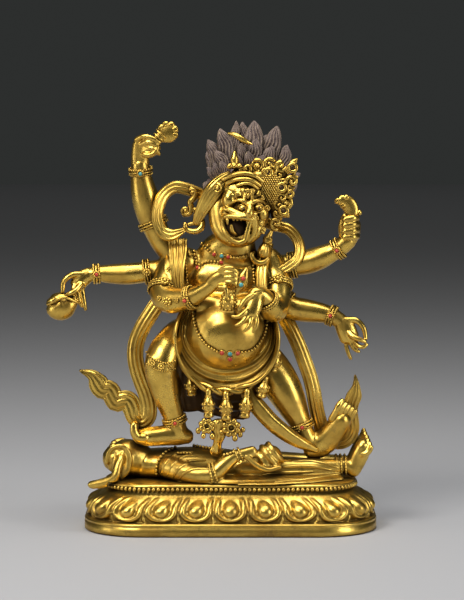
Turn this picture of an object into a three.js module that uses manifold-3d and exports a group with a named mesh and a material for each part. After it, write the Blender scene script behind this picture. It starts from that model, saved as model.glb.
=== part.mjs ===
// A gilt-bronze six-armed guardian deity, cast in three pieces: an oblong lotus plinth, an
// elephant-headed figure lying on it, and the deity that stands on that figure. Millimetres,
// +Z up, +X to the viewer's right, -Y towards the viewer, origin under the middle of the plinth.

import * as THREE from "three";
import { mergeVertices } from "three/addons/utils/BufferGeometryUtils.js";
import Module from "manifold-3d";

const wasm = await Module();
wasm.setup();

// Driving dimensions of the plinth
const PLINTH_LENGTH = 146;
const PLINTH_DEPTH = 74;
const PLINTH_CORNER = 30; // radius of the rounded ends
const FOOT_HEIGHT = 6.6; // plain band that the plinth stands on
const FOOT_EASE = 0.8; // worn upper edge of the band
const FOOT_STEP = 2.8; // the lotus is set in by this much from the band
const LOTUS_HEIGHT = 13.4;
const LOTUS_LEAN = 7.6; // how far the petals lean in from foot to neck
const PETAL_COUNT = 22;
const PETAL_BULGE = 2.8;
const RIM_HEIGHT = 4.8; // hollow neck, beaded rim and the edge above it
const RIM_LENGTH = 126;
const RIM_DEPTH = 58;
const RIM_CORNER = 23;
const RIM_EASE = 1.2;
const PLAIN_COLUMNS = 38; // flat faces that stand for the round of a plain moulding

// Driving dimensions of the figures, which share one canon of proportions
const DEITY_HEIGHT = 167; // from the lower heel to the top of the flaming hair
const CANON_HEIGHT = 167; // the height at which the places below are true millimetres
const REST_GAP = 0.3; // between one casting and the one it rests on

const PLINTH_HEIGHT = FOOT_HEIGHT + LOTUS_HEIGHT + RIM_HEIGHT;
const UNIT = DEITY_HEIGHT / CANON_HEIGHT;

// Finishes
const FIRE_GILT = new THREE.MeshStandardMaterial({ color: 0xc9962e, metalness: 1, roughness: 0.28 });
const WORN_GILT = new THREE.MeshStandardMaterial({ color: 0xb98727, metalness: 1, roughness: 0.34 });

// Solids

// A closed three.js geometry as a solid
function solid(geometry) {
  const bare = geometry.clone();
  bare.deleteAttribute("normal");
  bare.deleteAttribute("uv");
  const merged = mergeVertices(bare, 1e-4);
  return new wasm.Manifold(new wasm.Mesh({
    numProp: 3,
    vertProperties: merged.attributes.position.array,
    triVerts: new Uint32Array(merged.index.array),
  }));
}

// A solid as a three.js geometry
function geometryOf(made) {
  const { numProp, numVert, vertProperties, triVerts } = made.getMesh();
  const positions = new Float32Array(numVert * 3);
  for (let i = 0; i < numVert; i += 1) {
    positions.set(vertProperties.subarray(i * numProp, i * numProp + 3), i * 3);
  }
  const geometry = new THREE.BufferGeometry();
  geometry.setAttribute("position", new THREE.BufferAttribute(positions, 3));
  geometry.setIndex(new THREE.BufferAttribute(triVerts, 1));
  geometry.computeVertexNormals();
  return geometry;
}

const union = (solids) => solids.reduce((whole, piece) => whole.add(piece));

// Moves every vertex of a geometry by a rule from its old place to its new one
function reshape(geometry, rule) {
  const place = geometry.attributes.position;
  const at = new THREE.Vector3();
  for (let i = 0; i < place.count; i += 1) {
    at.fromBufferAttribute(place, i);
    place.setXYZ(i, ...rule(at).toArray());
  }
  return geometry;
}

// A rounded bar through stations [x, y, z, half width, half thickness]. Its thickness lies along
// the facing direction, which is towards the viewer unless the bar says otherwise. Flutes raise
// every other edge of its section, and the dome is how far its ends bulge.
function bar(stations, { sides = 6, steps = 1, facing = [0, -1, 0], flutes = 0, dome = 0.5 } = {}) {
  const line = new THREE.CatmullRomCurve3(stations.map(([x, y, z]) => new THREE.Vector3(x, y, z)));
  const girth = new THREE.CatmullRomCurve3(
    stations.map(([, , , width, thickness = width]) => new THREE.Vector3(width, thickness, 0)),
  );
  const rows = (stations.length - 1) * steps;
  const front = new THREE.Vector3(...facing);
  const shape = new THREE.CylinderGeometry(1, 1, 1, sides, rows);
  reshape(shape, (v) => {
    const t = 0.5 - v.y;
    const along = line.getTangent(t);
    const across = new THREE.Vector3().crossVectors(front, along).normalize();
    const out = new THREE.Vector3().crossVectors(along, across).normalize();
    const { x: width, y: thick } = girth.getPoint(t);
    const side = Math.round((Math.atan2(v.x, v.z) / (2 * Math.PI)) * sides);
    const ridge = 1 + (side % 2 === 0 ? flutes : -flutes);
    const onAxis = Math.hypot(v.x, v.z) < 1e-6;
    const bulge = onAxis ? Math.sign(t - 0.5) * dome * Math.min(width, thick) : 0;
    return line.getPoint(t)
      .addScaledVector(across, v.x * width)
      .addScaledVector(out, v.z * thick * ridge)
      .addScaledVector(along, bulge);
  });
  return solid(shape);
}

// A ball with three half axes
function ball([x, y, z], [a, b, c], turns = 8, rows = 5) {
  const shape = new THREE.SphereGeometry(1, turns, rows).rotateX(Math.PI / 2);
  return solid(shape.scale(a, b, c).translate(x, y, z));
}

// A boss, petal or eye that comes to a point towards the viewer
function boss([x, y, z], [a, b, c], turns = 6) {
  return solid(new THREE.SphereGeometry(1, turns, 2).scale(a, b, c).translate(x, y, z));
}

// Plinth

// The point at a share of the way round an oblong with rounded ends, seen from above
function oblong(share, { length, depth, corner }) {
  const straightX = length - 2 * corner;
  const straightY = depth - 2 * corner;
  const arc = (Math.PI / 2) * corner;
  const legs = [
    { run: straightX / 2, dx: 1, dy: 0 },
    { run: arc, turn: -Math.PI / 2, cx: 1, cy: -1 },
    { run: straightY, dx: 0, dy: 1 },
    { run: arc, turn: 0, cx: 1, cy: 1 },
    { run: straightX, dx: -1, dy: 0 },
    { run: arc, turn: Math.PI / 2, cx: -1, cy: 1 },
    { run: straightY, dx: 0, dy: -1 },
    { run: arc, turn: Math.PI, cx: -1, cy: -1 },
    { run: straightX / 2, dx: 1, dy: 0 },
  ];
  const round = 2 * (straightX + straightY) + 4 * arc;
  let left = (((share % 1) + 1) % 1) * round;
  let x = 0;
  let y = -depth / 2;
  for (const leg of legs) {
    const go = Math.min(left, leg.run);
    if (leg.turn === undefined) {
      x += leg.dx * go;
      y += leg.dy * go;
    } else {
      const angle = leg.turn + go / corner;
      x = (leg.cx * straightX) / 2 + corner * Math.cos(angle);
      y = (leg.cy * straightY) / 2 + corner * Math.sin(angle);
    }
    left -= go;
    if (left <= 1e-9) break;
  }
  return [x, y];
}

// A closed ring of storeys over an oblong outline: every storey is a height, and a rule that
// gives how far each of its columns is set in
function storeys(outline, columns, rows) {
  const profile = [
    new THREE.Vector2(0, 0),
    ...rows.map((row, i) => new THREE.Vector2(1, i)),
    new THREE.Vector2(0, rows.length - 1),
  ];
  return solid(reshape(new THREE.LatheGeometry(profile, columns), (v) => {
    const row = rows[Math.round(v.y)];
    if (Math.hypot(v.x, v.z) < 0.5) return new THREE.Vector3(0, 0, row.z);
    const column = Math.round((Math.atan2(v.x, v.z) / (2 * Math.PI)) * columns);
    const inset = row.inset(column);
    const [x, y] = oblong(column / columns, {
      length: outline.length - 2 * inset,
      depth: outline.depth - 2 * inset,
      corner: outline.corner - inset,
    });
    return new THREE.Vector3(x, y, row.z);
  }));
}

function plinth() {
  const outline = { length: PLINTH_LENGTH, depth: PLINTH_DEPTH, corner: PLINTH_CORNER };
  const buried = 0.6; // each storey reaches into the next
  const neck = FOOT_HEIGHT + LOTUS_HEIGHT;
  const foot = storeys(outline, PLAIN_COLUMNS, [
    { z: 0, inset: () => 0 },
    { z: FOOT_HEIGHT - FOOT_EASE, inset: () => 0 },
    { z: FOOT_HEIGHT, inset: () => FOOT_EASE },
  ]);
  // Rise and lean are shares of the lotus, the rest are shares of the petal's bulge
  const petalRows = [
    { rise: 0, lean: 0, border: 0.6, boss: 0.6 },
    { rise: 0.42, lean: 0.2, border: 0.85, boss: 1.15 },
    { rise: 0.78, lean: 0.6, border: 0.7, boss: 1 },
    { rise: 1, lean: 1, border: 0, boss: 0.2 },
  ];
  const columnsPerPetal = 4;
  const lotus = storeys(outline, PETAL_COUNT * columnsPerPetal, petalRows.map((row) => {
    const acrossPetal = [0, row.border, row.boss, row.border];
    return {
      z: FOOT_HEIGHT - buried + row.rise * (LOTUS_HEIGHT + buried),
      inset: (column) => {
        const phase = (column + columnsPerPetal * (PETAL_COUNT + 0.5)) % columnsPerPetal;
        return FOOT_STEP + row.lean * LOTUS_LEAN - PETAL_BULGE * acrossPetal[phase];
      },
    };
  }));
  const rimOutline = { length: RIM_LENGTH, depth: RIM_DEPTH, corner: RIM_CORNER };
  const rim = storeys(rimOutline, PLAIN_COLUMNS, [
    { z: neck - buried, inset: () => RIM_EASE },
    { z: neck + RIM_HEIGHT * 0.3, inset: () => RIM_EASE },
    { z: neck + RIM_HEIGHT * 0.55, inset: () => 0 },
    { z: PLINTH_HEIGHT, inset: () => RIM_EASE },
  ]);
  return union([foot, lotus, rim]);
}

// Figures. Every place is in millimetres at the canon height, from the top of the plinth.

const mix = ([a, b], share) => a.map((value, axis) => value + (b[axis] - value) * share);

// Fingers or toes side by side, from a first one to a last one
function digits({ roots, knuckles, tips, radius = 1.3, count = 4 }) {
  return Array.from({ length: count }, (unused, i) => {
    const share = i / (count - 1);
    return bar([
      [...mix(roots, share), radius],
      [...mix(knuckles, share), radius],
      [...mix(tips, share), radius * 0.7],
    ], { sides: 4 });
  });
}

const finger = (places, radius = 1.3) => bar(places.map((place) => [...place, radius]), { sides: 4 });

// Folded fingers, or toes, that touch each other are one bar with grooves between them
const closed = (stations, facing) => bar(stations, { sides: 8, flutes: 0.16, facing });
const toes = (stations, facing) => bar(stations, { sides: 6, flutes: 0.16, facing });

// The elephant-headed figure that the deity stands on lies on its back, head to the left
function lyingFigure() {
  const upwards = { sides: 8, facing: [0, 0, 1] };
  const torso = bar([
    [-44, -1, 6, 9, 7.6],
    [-28, -2, 6.5, 13, 8],
    [-10, -1, 6, 12.6, 8.2],
    [12, 0, 4, 13, 7],
  ], upwards);
  const head = bar([
    [-62, -3, 8, 5, 5],
    [-56, -3, 9, 10, 9.4],
    [-48, -2, 8, 9.4, 9.4],
    [-40, -1, 6, 6, 6],
  ], upwards);
  const ears = [-1, 1].map((side) => bar([
    [-60, side * 8 - 3, 13, 2.2, 1.3],
    [-52, side * 10 - 3, 15, 5, 1.5],
    [-44.5, side * 10.5 - 3, 7, 3.4, 1.3],
  ], { sides: 5, facing: [0.2, 0, 1] }));
  const trunk = bar([
    [-57, -8, 13, 4],
    [-61, -12, 8, 3.4],
    [-65.6, -14, 3, 2.8],
    [-71, -15, -1.6, 2.4],
  ], { sides: 5 });
  const nearArm = bar([
    [-31, -13, 6, 5.4],
    [-20, -19, 4.2, 5],
    [-9, -22, 4, 4.6],
    [-1, -21, 10, 3.9],
    [5, -20, 14, 3],
    [12, -19, 14.5, 3.6, 2.6],
  ]);
  const farArm = bar([
    [-31, 12, 6, 5],
    [-18, 18, 4.2, 4.4],
    [-4, 17, 5, 4],
    [6, 12, 9, 3],
  ], { sides: 5 });
  const fruit = ball([20, -17, 12.5], [6.6, 5.8, 5.6], 7, 4);
  const fingers = closed([
    [13, -18, 14.5, 4, 1.6],
    [19, -20, 17, 4.2, 1.6],
    [25, -19, 14, 3.6, 1.3],
  ], [0, -1, 1]);
  const legs = [-1, 1].map((side) => bar([
    [6, side * 7.4, 5, 7, 7.4],
    [30, side * 8, 4.5, 7, 6],
    [50, side * 7, 4, 5.2, 4.8],
    [61, side * 6, 4, 4, 4.4],
  ], { facing: [0, 0, 1] }));
  const feet = [-1, 1].map((side) => toes([
    [60.5, side * 6, 3.5, 4, 4],
    [64.4, side * 6, 10, 4, 2.8],
    [68.6, side * 6, 17, 4.6, 1.6],
    [71, side * 6, 19.6, 3.4, 1],
  ], [1, 0, -0.5]));
  const cloth = bar([
    [-24, -14, 0, 7, 2.4],
    [4, -18, 0, 9, 2],
    [30, -18, 0, 8, 2.4],
    [54, -10, 0, 5, 2],
  ], { ...upwards, flutes: 0.3 });
  const whole = union([
    torso, head, ...ears, trunk, nearArm, farArm, fruit, fingers, ...legs, ...feet, cloth,
  ]);
  const bed = {
    length: RIM_LENGTH / UNIT + 2 * REST_GAP,
    depth: RIM_DEPTH / UNIT + 2 * REST_GAP,
    corner: RIM_CORNER / UNIT,
  };
  const below = storeys(bed, PLAIN_COLUMNS, [
    { z: -2 * RIM_HEIGHT, inset: () => 0 },
    { z: 0, inset: () => 0 },
  ]);
  return whole.subtract(below);
}

// The deity's legs: one knee bent out to the side, the other leg stretched, its toes raised.
// Where a station's girth jumps, an anklet or a knee jewel goes round the limb.
function stance() {
  const bentLeg = bar([
    [-6, 0, 63, 11],
    [-22, -9, 66, 10.5],
    [-34, -14, 64.5, 9],
    [-34, -13, 56, 8.4],
    [-32, -11, 46, 7.2],
    [-28.2, -8.5, 32, 5.6],
    [-27.4, -8, 29.5, 6.2],
    [-26.2, -8, 23, 5],
  ], { sides: 7, facing: [0.4, -1, 0.4] });
  const flatFoot = bar([
    [-20, -8, 20.5, 4, 3.8],
    [-29, -8.5, 21, 5.2, 5],
    [-39, -9.5, 19.8, 4.2, 5.6],
    [-46, -10, 21.6, 2.8, 5.4],
  ]);
  const flatToes = toes([
    [-43, -10, 21, 5.4, 2.6],
    [-48.4, -10, 22.8, 5.8, 1.7],
    [-50.6, -10, 26.6, 5, 1.2],
  ], [0.3, 0, 1]);
  const straightLeg = bar([
    [8, 1, 62, 12],
    [21, -1, 53, 10.4],
    [28.5, -4, 40, 8.6],
    [34.5, -5, 28, 6],
    [36, -5, 25, 6.4],
    [38.5, -5, 19, 5],
  ], { sides: 7 });
  const raisedFoot = bar([
    [42.5, -5, 14.2, 4.8, 4.6],
    [48, -6, 20.5, 5.4, 4.8],
    [54, -7.5, 28, 4.4, 5],
    [57, -8.5, 32, 3, 4.6],
  ]);
  const raisedToes = toes([
    [56, -8.5, 31, 5, 2.4],
    [58.6, -9, 35, 5.4, 1.6],
    [57.6, -9.4, 38, 4.6, 1.1],
  ], [1, 0, -0.6]);
  return [bentLeg, flatFoot, flatToes, straightLeg, raisedFoot, raisedToes];
}

// Chest, neck and the great round belly, which the skirt's folds of cloth ring from below
function torso() {
  const chest = bar([
    [0, 3, 58, 18, 12],
    [-0.5, 1, 80, 18, 12],
    [-1.5, -1, 97, 20, 12.6],
    [-1, 0, 107, 17.4, 10],
    [3, -2, 115, 8.5, 8],
    [5, -4, 124, 7, 7],
  ], { sides: 8 });
  // Radius and depth, from the front of the belly back over two folds of cloth to the hips
  const profile = [
    [0, -27], [9, -25.6], [16, -20.8], [20.6, -12.4], [22.4, -11.4], [22.4, -9], [24.6, -8], [24.8, -3],
    [0, 11],
  ].map(([radius, depth]) => new THREE.Vector2(radius, depth));
  const droop = 0.18; // radians that the belly hangs forward
  const folds = new THREE.LatheGeometry(profile, 13).rotateX(droop).translate(-2, 0, 73.6);
  const seat = ball([0, 5, 60], [22, 12, 16], 7, 4);
  return [chest, solid(folds), seat];
}

// The six arms, each with a hand: upper, middle and front, left and right. A bracelet or an
// armlet goes round a limb where the girth of its stations jumps.
function arms() {
  const limbs = [
    [
      [-17, 2, 103, 8], [-29, 2, 112, 6.6], [-36.5, 2, 122, 6.4], [-40.5, 1.5, 133, 6.8],
      [-43, 1, 144, 6.9], [-44.6, 0, 153, 5.2], [-45, -1, 155.5, 5.8], [-44.6, -3, 164, 4.8],
      [-43, -4, 169.5, 3.2],
    ],
    [
      [-18, 1, 100, 8], [-37, 1, 103.4, 5.6], [-42, 1, 102.6, 6.6], [-45, 1, 102.2, 5.4],
      [-56, 1, 101.6, 5.2], [-66.5, 0.2, 101.6, 4.2], [-69.5, 0, 101.4, 4.8], [-74, -1, 99.6, 4, 3],
      [-79, -2.5, 99.6, 2.6, 2],
    ],
    [
      [-23, -1, 107, 7.5], [-32.5, -5, 99, 7.4], [-34.4, -10, 91.5, 8.2], [-29, -17, 88.5, 7.6],
      [-20.5, -22.5, 91, 5.8], [-18.5, -23.6, 92.5, 6.6], [-10, -27, 98.5, 4.8, 4], [-5.5, -28, 103, 3.4, 3],
    ],
    [
      [18, 2, 104, 8], [30, 1.5, 105.8, 5.8], [42, 0, 109, 7], [50.5, -1, 112.5, 5],
      [52.5, -1.4, 113.5, 5.8], [59, -3, 118.5, 4.8, 4], [61, -4, 127, 4, 3],
    ],
    [
      [18, 4, 94, 8], [27, 2, 86, 6.4], [36, 1, 83.4, 6], [47, 0, 82, 4.8], [49.6, -0.6, 81.4, 5.6],
      [55.5, -2, 77.5, 4.2, 3.4], [58, -2.5, 71, 2.8, 2.4],
    ],
    [
      [21, -1, 107, 7.5], [25.5, -6, 96, 7], [26.5, -12, 85, 7.4], [23, -18, 85.5, 7],
      [18.5, -23, 91, 4.8], [17.4, -24.4, 92.4, 5.4], [11.5, -28, 94, 4, 3.4], [8.5, -29, 90, 2.8],
    ],
  ].map((stations) => bar(stations));
  // The open hands: the places of the first and the last finger
  const openHands = [
    {
      roots: [[-79, -3.5, 99], [-74, -1, 98]],
      knuckles: [[-83, -4, 97.5], [-74, -1.5, 90]],
      tips: [[-83, -5, 92], [-72.8, -2, 84]],
    },
    {
      roots: [[58, -4, 76], [57, -1, 72]],
      knuckles: [[65, -4, 76], [59, -1, 64]],
      tips: [[66.5, -5, 69], [60, -1, 57.5]],
    },
  ].flatMap((hand) => digits(hand));
  const closedHands = [
    closed([[-43, -4, 168, 4.4, 2.2], [-38, -5, 171, 4.6, 1.6], [-35, -5, 165, 4, 1.3]], [-1, 0, 1]),
    closed([[-6, -28.4, 101.6, 4, 2.4], [-0.4, -31, 104.4, 3.8, 1.6], [5.6, -31, 101, 3.6, 1.3]]),
    closed([[62, -3, 123, 5.4, 2], [64.6, -7, 123.6, 5.8, 1.5], [57, -9.4, 125, 4.8, 1.3]], [1, -1, 0]),
    closed([[9, -29.4, 92.4, 4, 2.4], [6.4, -33, 85, 4.2, 1.7], [2.6, -33, 78.4, 3.8, 1.3]]),
  ];
  const thumbs = [
    [[-42, -5, 160], [-38, -7, 160.5], [-36, -6, 164]],
    [[-73, -4, 97], [-76, -6, 93], [-77, -6, 88]],
    [[57, -4, 75], [60, -6, 69], [64, -6, 65]],
  ].map((places) => finger(places));
  return [...limbs, ...openHands, ...closedHands, ...thumbs];
}

// What the hands hold: the feet of a flayed hide, a skull cup, and a chopper over a bowl
function attributes() {
  const leftHide = bar([
    [-38, -4, 167, 3, 1.6],
    [-32, -5.6, 172.4, 6, 1.6],
    [-27, -6, 176.5, 3, 1.4],
  ]);
  const rightHide = bar([
    [60, -5, 128, 3.4, 2],
    [59, -5.4, 135.4, 4.4, 1.7],
    [52.4, -6, 138.4, 2.6, 1.4],
  ]);
  const cup = bar([
    [-78, -4, 88.5, 3.4, 3],
    [-82, -4, 87.5, 6.6, 5.2],
    [-87, -4, 86, 7, 5.4],
    [-90.6, -4, 85.4, 4, 3.4],
  ], { sides: 7 });
  const handle = bar([
    [-1.6, -28, 80.5, 3.2, 3.2],
    [-2.4, -29, 86, 4.4, 4.2],
    [-0.4, -29.5, 95, 2.8, 2.8],
  ]);
  const blade = bar([
    [-1, -29.5, 94, 1.6, 1.2],
    [1.2, -29.5, 100, 3.2, 1.2],
    [4.6, -29, 105, 1.6, 1],
  ], { sides: 4 });
  const bowl = ball([4, -26, 84], [7.6, 5.6, 6.4], 8, 4);
  return [leftHide, rightHide, cup, handle, blade, bowl];
}

// Stations of a scarf from its places and its half width, which narrows at its free end
function strip(places, width, thickness = 1.3) {
  return places.map((place, i) => [...place, i === places.length - 1 ? width * 0.35 : width, thickness]);
}

// The long scarf: a loop over each shoulder, and ends that fall past the legs and flutter out
function scarf() {
  const look = { sides: 6, flutes: 0.22 };
  const leftLoop = bar(strip([
    [-4, 5, 136], [-12, 1, 140], [-22.7, -2, 144.5], [-30.4, -4, 144.4], [-35, -6, 138.6], [-36.4, -7, 131.5],
    [-35, -8, 124.5], [-29, -8, 119.5], [-20, -8, 117],
  ], 3.1), look);
  const leftFall = bar(strip([
    [-27, 1, 98], [-35, 0, 88.6], [-44.5, -2, 74.5], [-47.4, -3, 61.5], [-44.4, -3, 48], [-40.8, -3, 35],
    [-43, -3, 27.5], [-47, -3, 28.5], [-49.2, -3, 34.5], [-52, -3, 38.6], [-57, -3, 37.4], [-60.4, -3, 43.6],
    [-64, -3, 44], [-67, -3, 49], [-75, -3, 53.4],
  ], 4.2), look);
  const rightLoop = bar(strip([
    [12, 4, 130], [21, 2, 126], [28.5, 0, 124], [33.4, -2, 119.5], [34.4, -4, 113.5], [29.5, -7, 107],
    [21, -8, 102],
  ], 2.8), look);
  const rightFall = bar(strip([
    [24, 4, 84], [31, 1, 72], [37, 0, 58], [41.5, 1, 43], [44.5, 3, 28], [49, 4, 19], [56, 3, 17],
    [60.5, 1, 23], [60, -1, 33], [62, -2, 41], [62.4, -2, 50.8],
  ], 3.8), look);
  const chestStrip = bar(strip([[-26, -7, 118], [-23.5, -11.6, 108], [-21, -14, 92]], 2.7));
  return [leftLoop, leftFall, rightLoop, rightFall, chestStrip];
}

// Below the belly: a twisted roll of cloth, a rear panel, a sash, and pendants with two blossoms
function skirt() {
  const roll = bar([
    [-21, -6, 50, 2], [-15, -15, 46.8, 2.2], [-5, -19, 44.2, 2.4], [5, -19, 44.4, 2.4], [15, -15, 48, 2.2],
    [21, -6, 52, 2],
  ], { sides: 5, facing: [0, -1, 0.3] });
  const hem = bar([
    [0, -1, 50, 18, 14],
    [0, -1, 45, 17, 14],
    [-1, 3, 40, 14, 9],
  ], { sides: 8 });
  const rearPanel = bar([
    [-2, 9, 50, 19, 4],
    [-4, 10, 40, 16, 3],
    [-6, 10, 30.5, 13.6, 2],
  ], { sides: 8, flutes: 0.16 });
  const sash = bar([
    [9, -13, 45, 3.4, 2.4],
    [15.4, -13.4, 35, 4, 2.4],
    [24.6, -14, 25.6, 3.9, 2],
    [34.6, -12.6, 18.6, 3, 1.8],
    [42.5, -9, 14.4, 1.6, 1.6],
  ]);
  const pendants = [
    [-20.5, -10, 53, 11.5], [-11, -18, 46, 15], [-2.2, -19.4, 45, 15], [9.2, -18.6, 46, 15],
    [17.6, -15.4, 52, 11], [24, -9, 64, 11],
  ].map(([x, y, z, length]) => bar([
    [x, y, z, 1.4],
    [x, y, z - length * 0.75, 2.1],
    [x, y, z - length, 1.3],
  ], { sides: 4 }));
  const blossoms = [[-11.6, -17.2, 27.6], [-0.2, -18, 26.6]].map((place) => boss(place, [5.2, 3.6, 5.2], 8));
  const stem = bar([
    [-5.8, -17, 28, 3.6, 2],
    [-5.8, -15.6, 22.4, 3, 2.2],
    [-6.4, -14, 17.5, 1.8],
    [-7.4, -13.4, 13.6, 3.4, 2.6],
  ], { sides: 5 });
  return [roll, hem, rearPanel, sash, ...pendants, ...blossoms, stem];
}

// The wrathful head: bulging eyes, a gaping mouth in a rolled jaw, and a jewelled crown that
// leans to the viewer's right
function head() {
  const skull = ball([6.8, -6, 134], [13.6, 14, 15.4], 8, 6);
  const mouth = ball([4.2, -20, 124.6], [6, 6.5, 5], 7, 4);
  const jaw = bar([
    [-3, -9, 147, 2.6], [-8.6, -9.5, 139, 3.4], [-9.6, -11, 130, 3.7], [-5.6, -14.6, 121.6, 3.5],
    [3, -17.4, 117.6, 3.2], [10.4, -17, 120.8, 3], [12.4, -15.5, 126, 2.8],
  ], { sides: 5 });
  const lip = bar([
    [-4.6, -16.4, 129, 1.3], [-0.6, -19.8, 130.4, 1.7], [6, -21.8, 130, 1.9], [10, -19.6, 128, 1.3],
  ], { sides: 4 });
  const nose = boss([8, -18.6, 132.6], [3.6, 5, 2.8], 5);
  const eyePlaces = [[5, -17.4, 135.2], [12, -16.8, 135.4], [8.6, -16.8, 141]];
  const eyes = eyePlaces.map((place) => boss(place, [2.6, 3.4, 2]));
  const brows = [
    [[7.4, -19.4, 137.4], [3.8, -18.6, 139], [-0.6, -14.8, 138]],
    [[9.6, -19.4, 137.4], [13, -17.8, 139], [16.6, -13.6, 137.4]],
  ].map((places) => finger(places, 1.2));
  const fangs = [0.2, 8.4].map((x) => boss([x, -19, 127.6], [1, 1, 3.6], 4));
  const tongue = boss([4, -15.8, 121.8], [3.4, 3.4, 2]);
  const leftSweep = bar([
    [-2, -6, 149.6, 3], [-8.6, -6, 145.4, 3.2], [-14.4, -5.4, 137.6, 2.8], [-18, -5, 130, 2.2],
    [-16.6, -5, 125.4, 1.8], [-20.4, -5, 124.2, 1.2],
  ], { sides: 4 });
  const leftScroll = finger([[-18.6, -2, 143], [-20, -2, 137], [-18.4, -2, 132], [-21.4, -2, 129]], 2);
  const rightDrop = bar([
    [18, -9, 128, 2], [20.4, -10, 122, 2.6], [17.4, -11, 113, 3.3], [13.4, -12, 107, 2],
  ], { sides: 5 });
  const band = bar([
    [-4, -11, 148.4, 2], [4, -15.4, 149.4, 2.4], [12, -16, 146, 2.8], [18.4, -12.6, 139.8, 3],
    [21.4, -7, 132, 2.6],
  ], { sides: 5 });
  const leaves = [
    [12, -12, 152], [19, -11, 152], [23.6, -8, 151], [26.6, -7, 145], [25, -6.6, 138], [24.6, -5, 131.4],
  ].map((place) => boss(place, [3.6, 3.4, 4.4]));
  const crownBack = bar([
    [5, -9, 149, 4], [18, -9, 149, 5.4], [21.6, -6.5, 141, 5], [20, -5, 132, 3],
  ], { sides: 5 });
  return [
    union([skull, ...leaves, crownBack, band, nose]).subtract(mouth),
    jaw, lip, ...eyes, ...brows, ...fangs, tongue, leftSweep, leftScroll, rightDrop,
  ];
}

// The hair stands up as a fan of flame-shaped tufts, two rows deep
function flamingHair() {
  const root = new THREE.Vector3(9.4, 2, 148);
  const widest = 1.18; // radians either side of the middle of the fan
  const rows = [
    { count: 8, spread: widest, reach: 31, back: 6 },
    { count: 4, spread: widest * 0.6, reach: 24, back: -5 },
  ];
  const tufts = rows.flatMap(({ count, spread, reach, back }) =>
    Array.from({ length: count }, (unused, i) => {
      const lean = spread * (-1 + (2 * i) / (count - 1));
      const length = reach * (1 - 0.22 * (lean / widest) ** 4);
      const along = (share) => [
        root.x + Math.sin(lean) * length * share,
        root.y + back * (0.4 + 0.6 * share),
        root.z + Math.cos(lean) * length * share,
      ];
      return bar([
        [...along(0.4), 3.4, 4],
        [...along(0.68), 5, 4],
        [...along(0.97), 1.1, 1],
      ], { sides: 4 });
    }));
  const mound = ball([8.6, 4, 146.6], [16, 12, 16], 8, 4);
  return [mound, ...tufts];
}

// Assembly

const seated = (made) => geometryOf(made.scale(UNIT).translate([0, 0, PLINTH_HEIGHT + REST_GAP]));

function named(name, geometry, material) {
  const mesh = new THREE.Mesh(geometry, material);
  mesh.name = name;
  return mesh;
}

const lying = lyingFigure();
const deity = union([
  ...torso(), ...stance(), ...arms(), ...attributes(), ...scarf(), ...skirt(), ...head(), ...flamingHair(),
]);

const figure = new THREE.Group();
figure.add(
  named("lotus_plinth", geometryOf(plinth()), WORN_GILT),
  named("elephant_headed_figure", seated(lying), WORN_GILT),
  named("mahakala_figure", seated(deity.subtract(lying.translate([0, 0, REST_GAP]))), FIRE_GILT),
);

export default figure;
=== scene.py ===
"""The look of a gilt-bronze six-armed guardian deity on an elephant-headed figure and a lotus plinth.

The castings are shaped in canon parts: 178.5 of them reach from the plinth's top to the tips of the
deity's hair. +X is the viewer's right, -Y faces the viewer and +Z is up, with 0 on the plinth's top."""

import math

import bmesh
import bpy
import numpy as np
from mathutils import Matrix, Vector
from mathutils.bvhtree import BVHTree


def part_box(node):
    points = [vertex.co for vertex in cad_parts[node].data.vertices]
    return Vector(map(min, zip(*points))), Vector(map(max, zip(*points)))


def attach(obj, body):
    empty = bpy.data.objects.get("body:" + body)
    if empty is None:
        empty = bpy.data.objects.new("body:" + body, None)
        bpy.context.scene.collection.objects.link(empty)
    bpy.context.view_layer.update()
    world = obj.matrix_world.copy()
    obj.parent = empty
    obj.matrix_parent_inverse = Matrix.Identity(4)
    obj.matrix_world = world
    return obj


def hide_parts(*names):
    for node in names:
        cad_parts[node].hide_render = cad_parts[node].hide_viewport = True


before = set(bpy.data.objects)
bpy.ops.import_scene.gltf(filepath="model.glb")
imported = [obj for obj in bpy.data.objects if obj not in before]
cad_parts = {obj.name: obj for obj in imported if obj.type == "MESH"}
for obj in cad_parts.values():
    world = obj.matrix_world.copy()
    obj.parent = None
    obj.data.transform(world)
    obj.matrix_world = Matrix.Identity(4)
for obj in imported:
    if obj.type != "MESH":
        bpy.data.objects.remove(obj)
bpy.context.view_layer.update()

# Sizes from the frame, in metres
PLINTH_LOW, PLINTH_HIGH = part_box("lotus_plinth")
DEITY_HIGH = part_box("mahakala_figure")[1]
REST_GAP = 0.0003
SEAT = PLINTH_HIGH.z + REST_GAP
CANON_PARTS = 178.5
PART = (DEITY_HIGH.z - SEAT) / CANON_PARTS


# Wax: tubes, balls and curves that every form is built from

def curve(rows, spacing):
    """A smooth curve through rows of numbers, each a place and what else changes along it."""
    rows = np.array(rows, float)
    knots = np.concatenate([[0], np.cumsum(np.linalg.norm(np.diff(rows[:, :3], axis=0), axis=1))])
    slopes = np.gradient(rows, knots, axis=0)
    at = np.linspace(0, knots[-1], max(4, round(knots[-1] / spacing) + 1))
    i = np.clip(np.searchsorted(knots, at, "right") - 1, 0, len(rows) - 2)
    span = (knots[i + 1] - knots[i])[:, None]
    t = (at - knots[i])[:, None] / span
    first = (2 * t**3 - 3 * t**2 + 1) * rows[i] + (t**3 - 2 * t**2 + t) * span * slopes[i]
    return first + (3 * t**2 - 2 * t**3) * rows[i + 1] + (t**3 - t**2) * span * slopes[i + 1]


def full_rows(rows):
    """Rows with a half thickness, which is the half width where a row gives none."""
    return [(*row, row[-1]) if len(row) == 4 else row for row in rows]


END_ON = 0.2  # below this sine of the angle to the line, a facing gives no side


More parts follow.
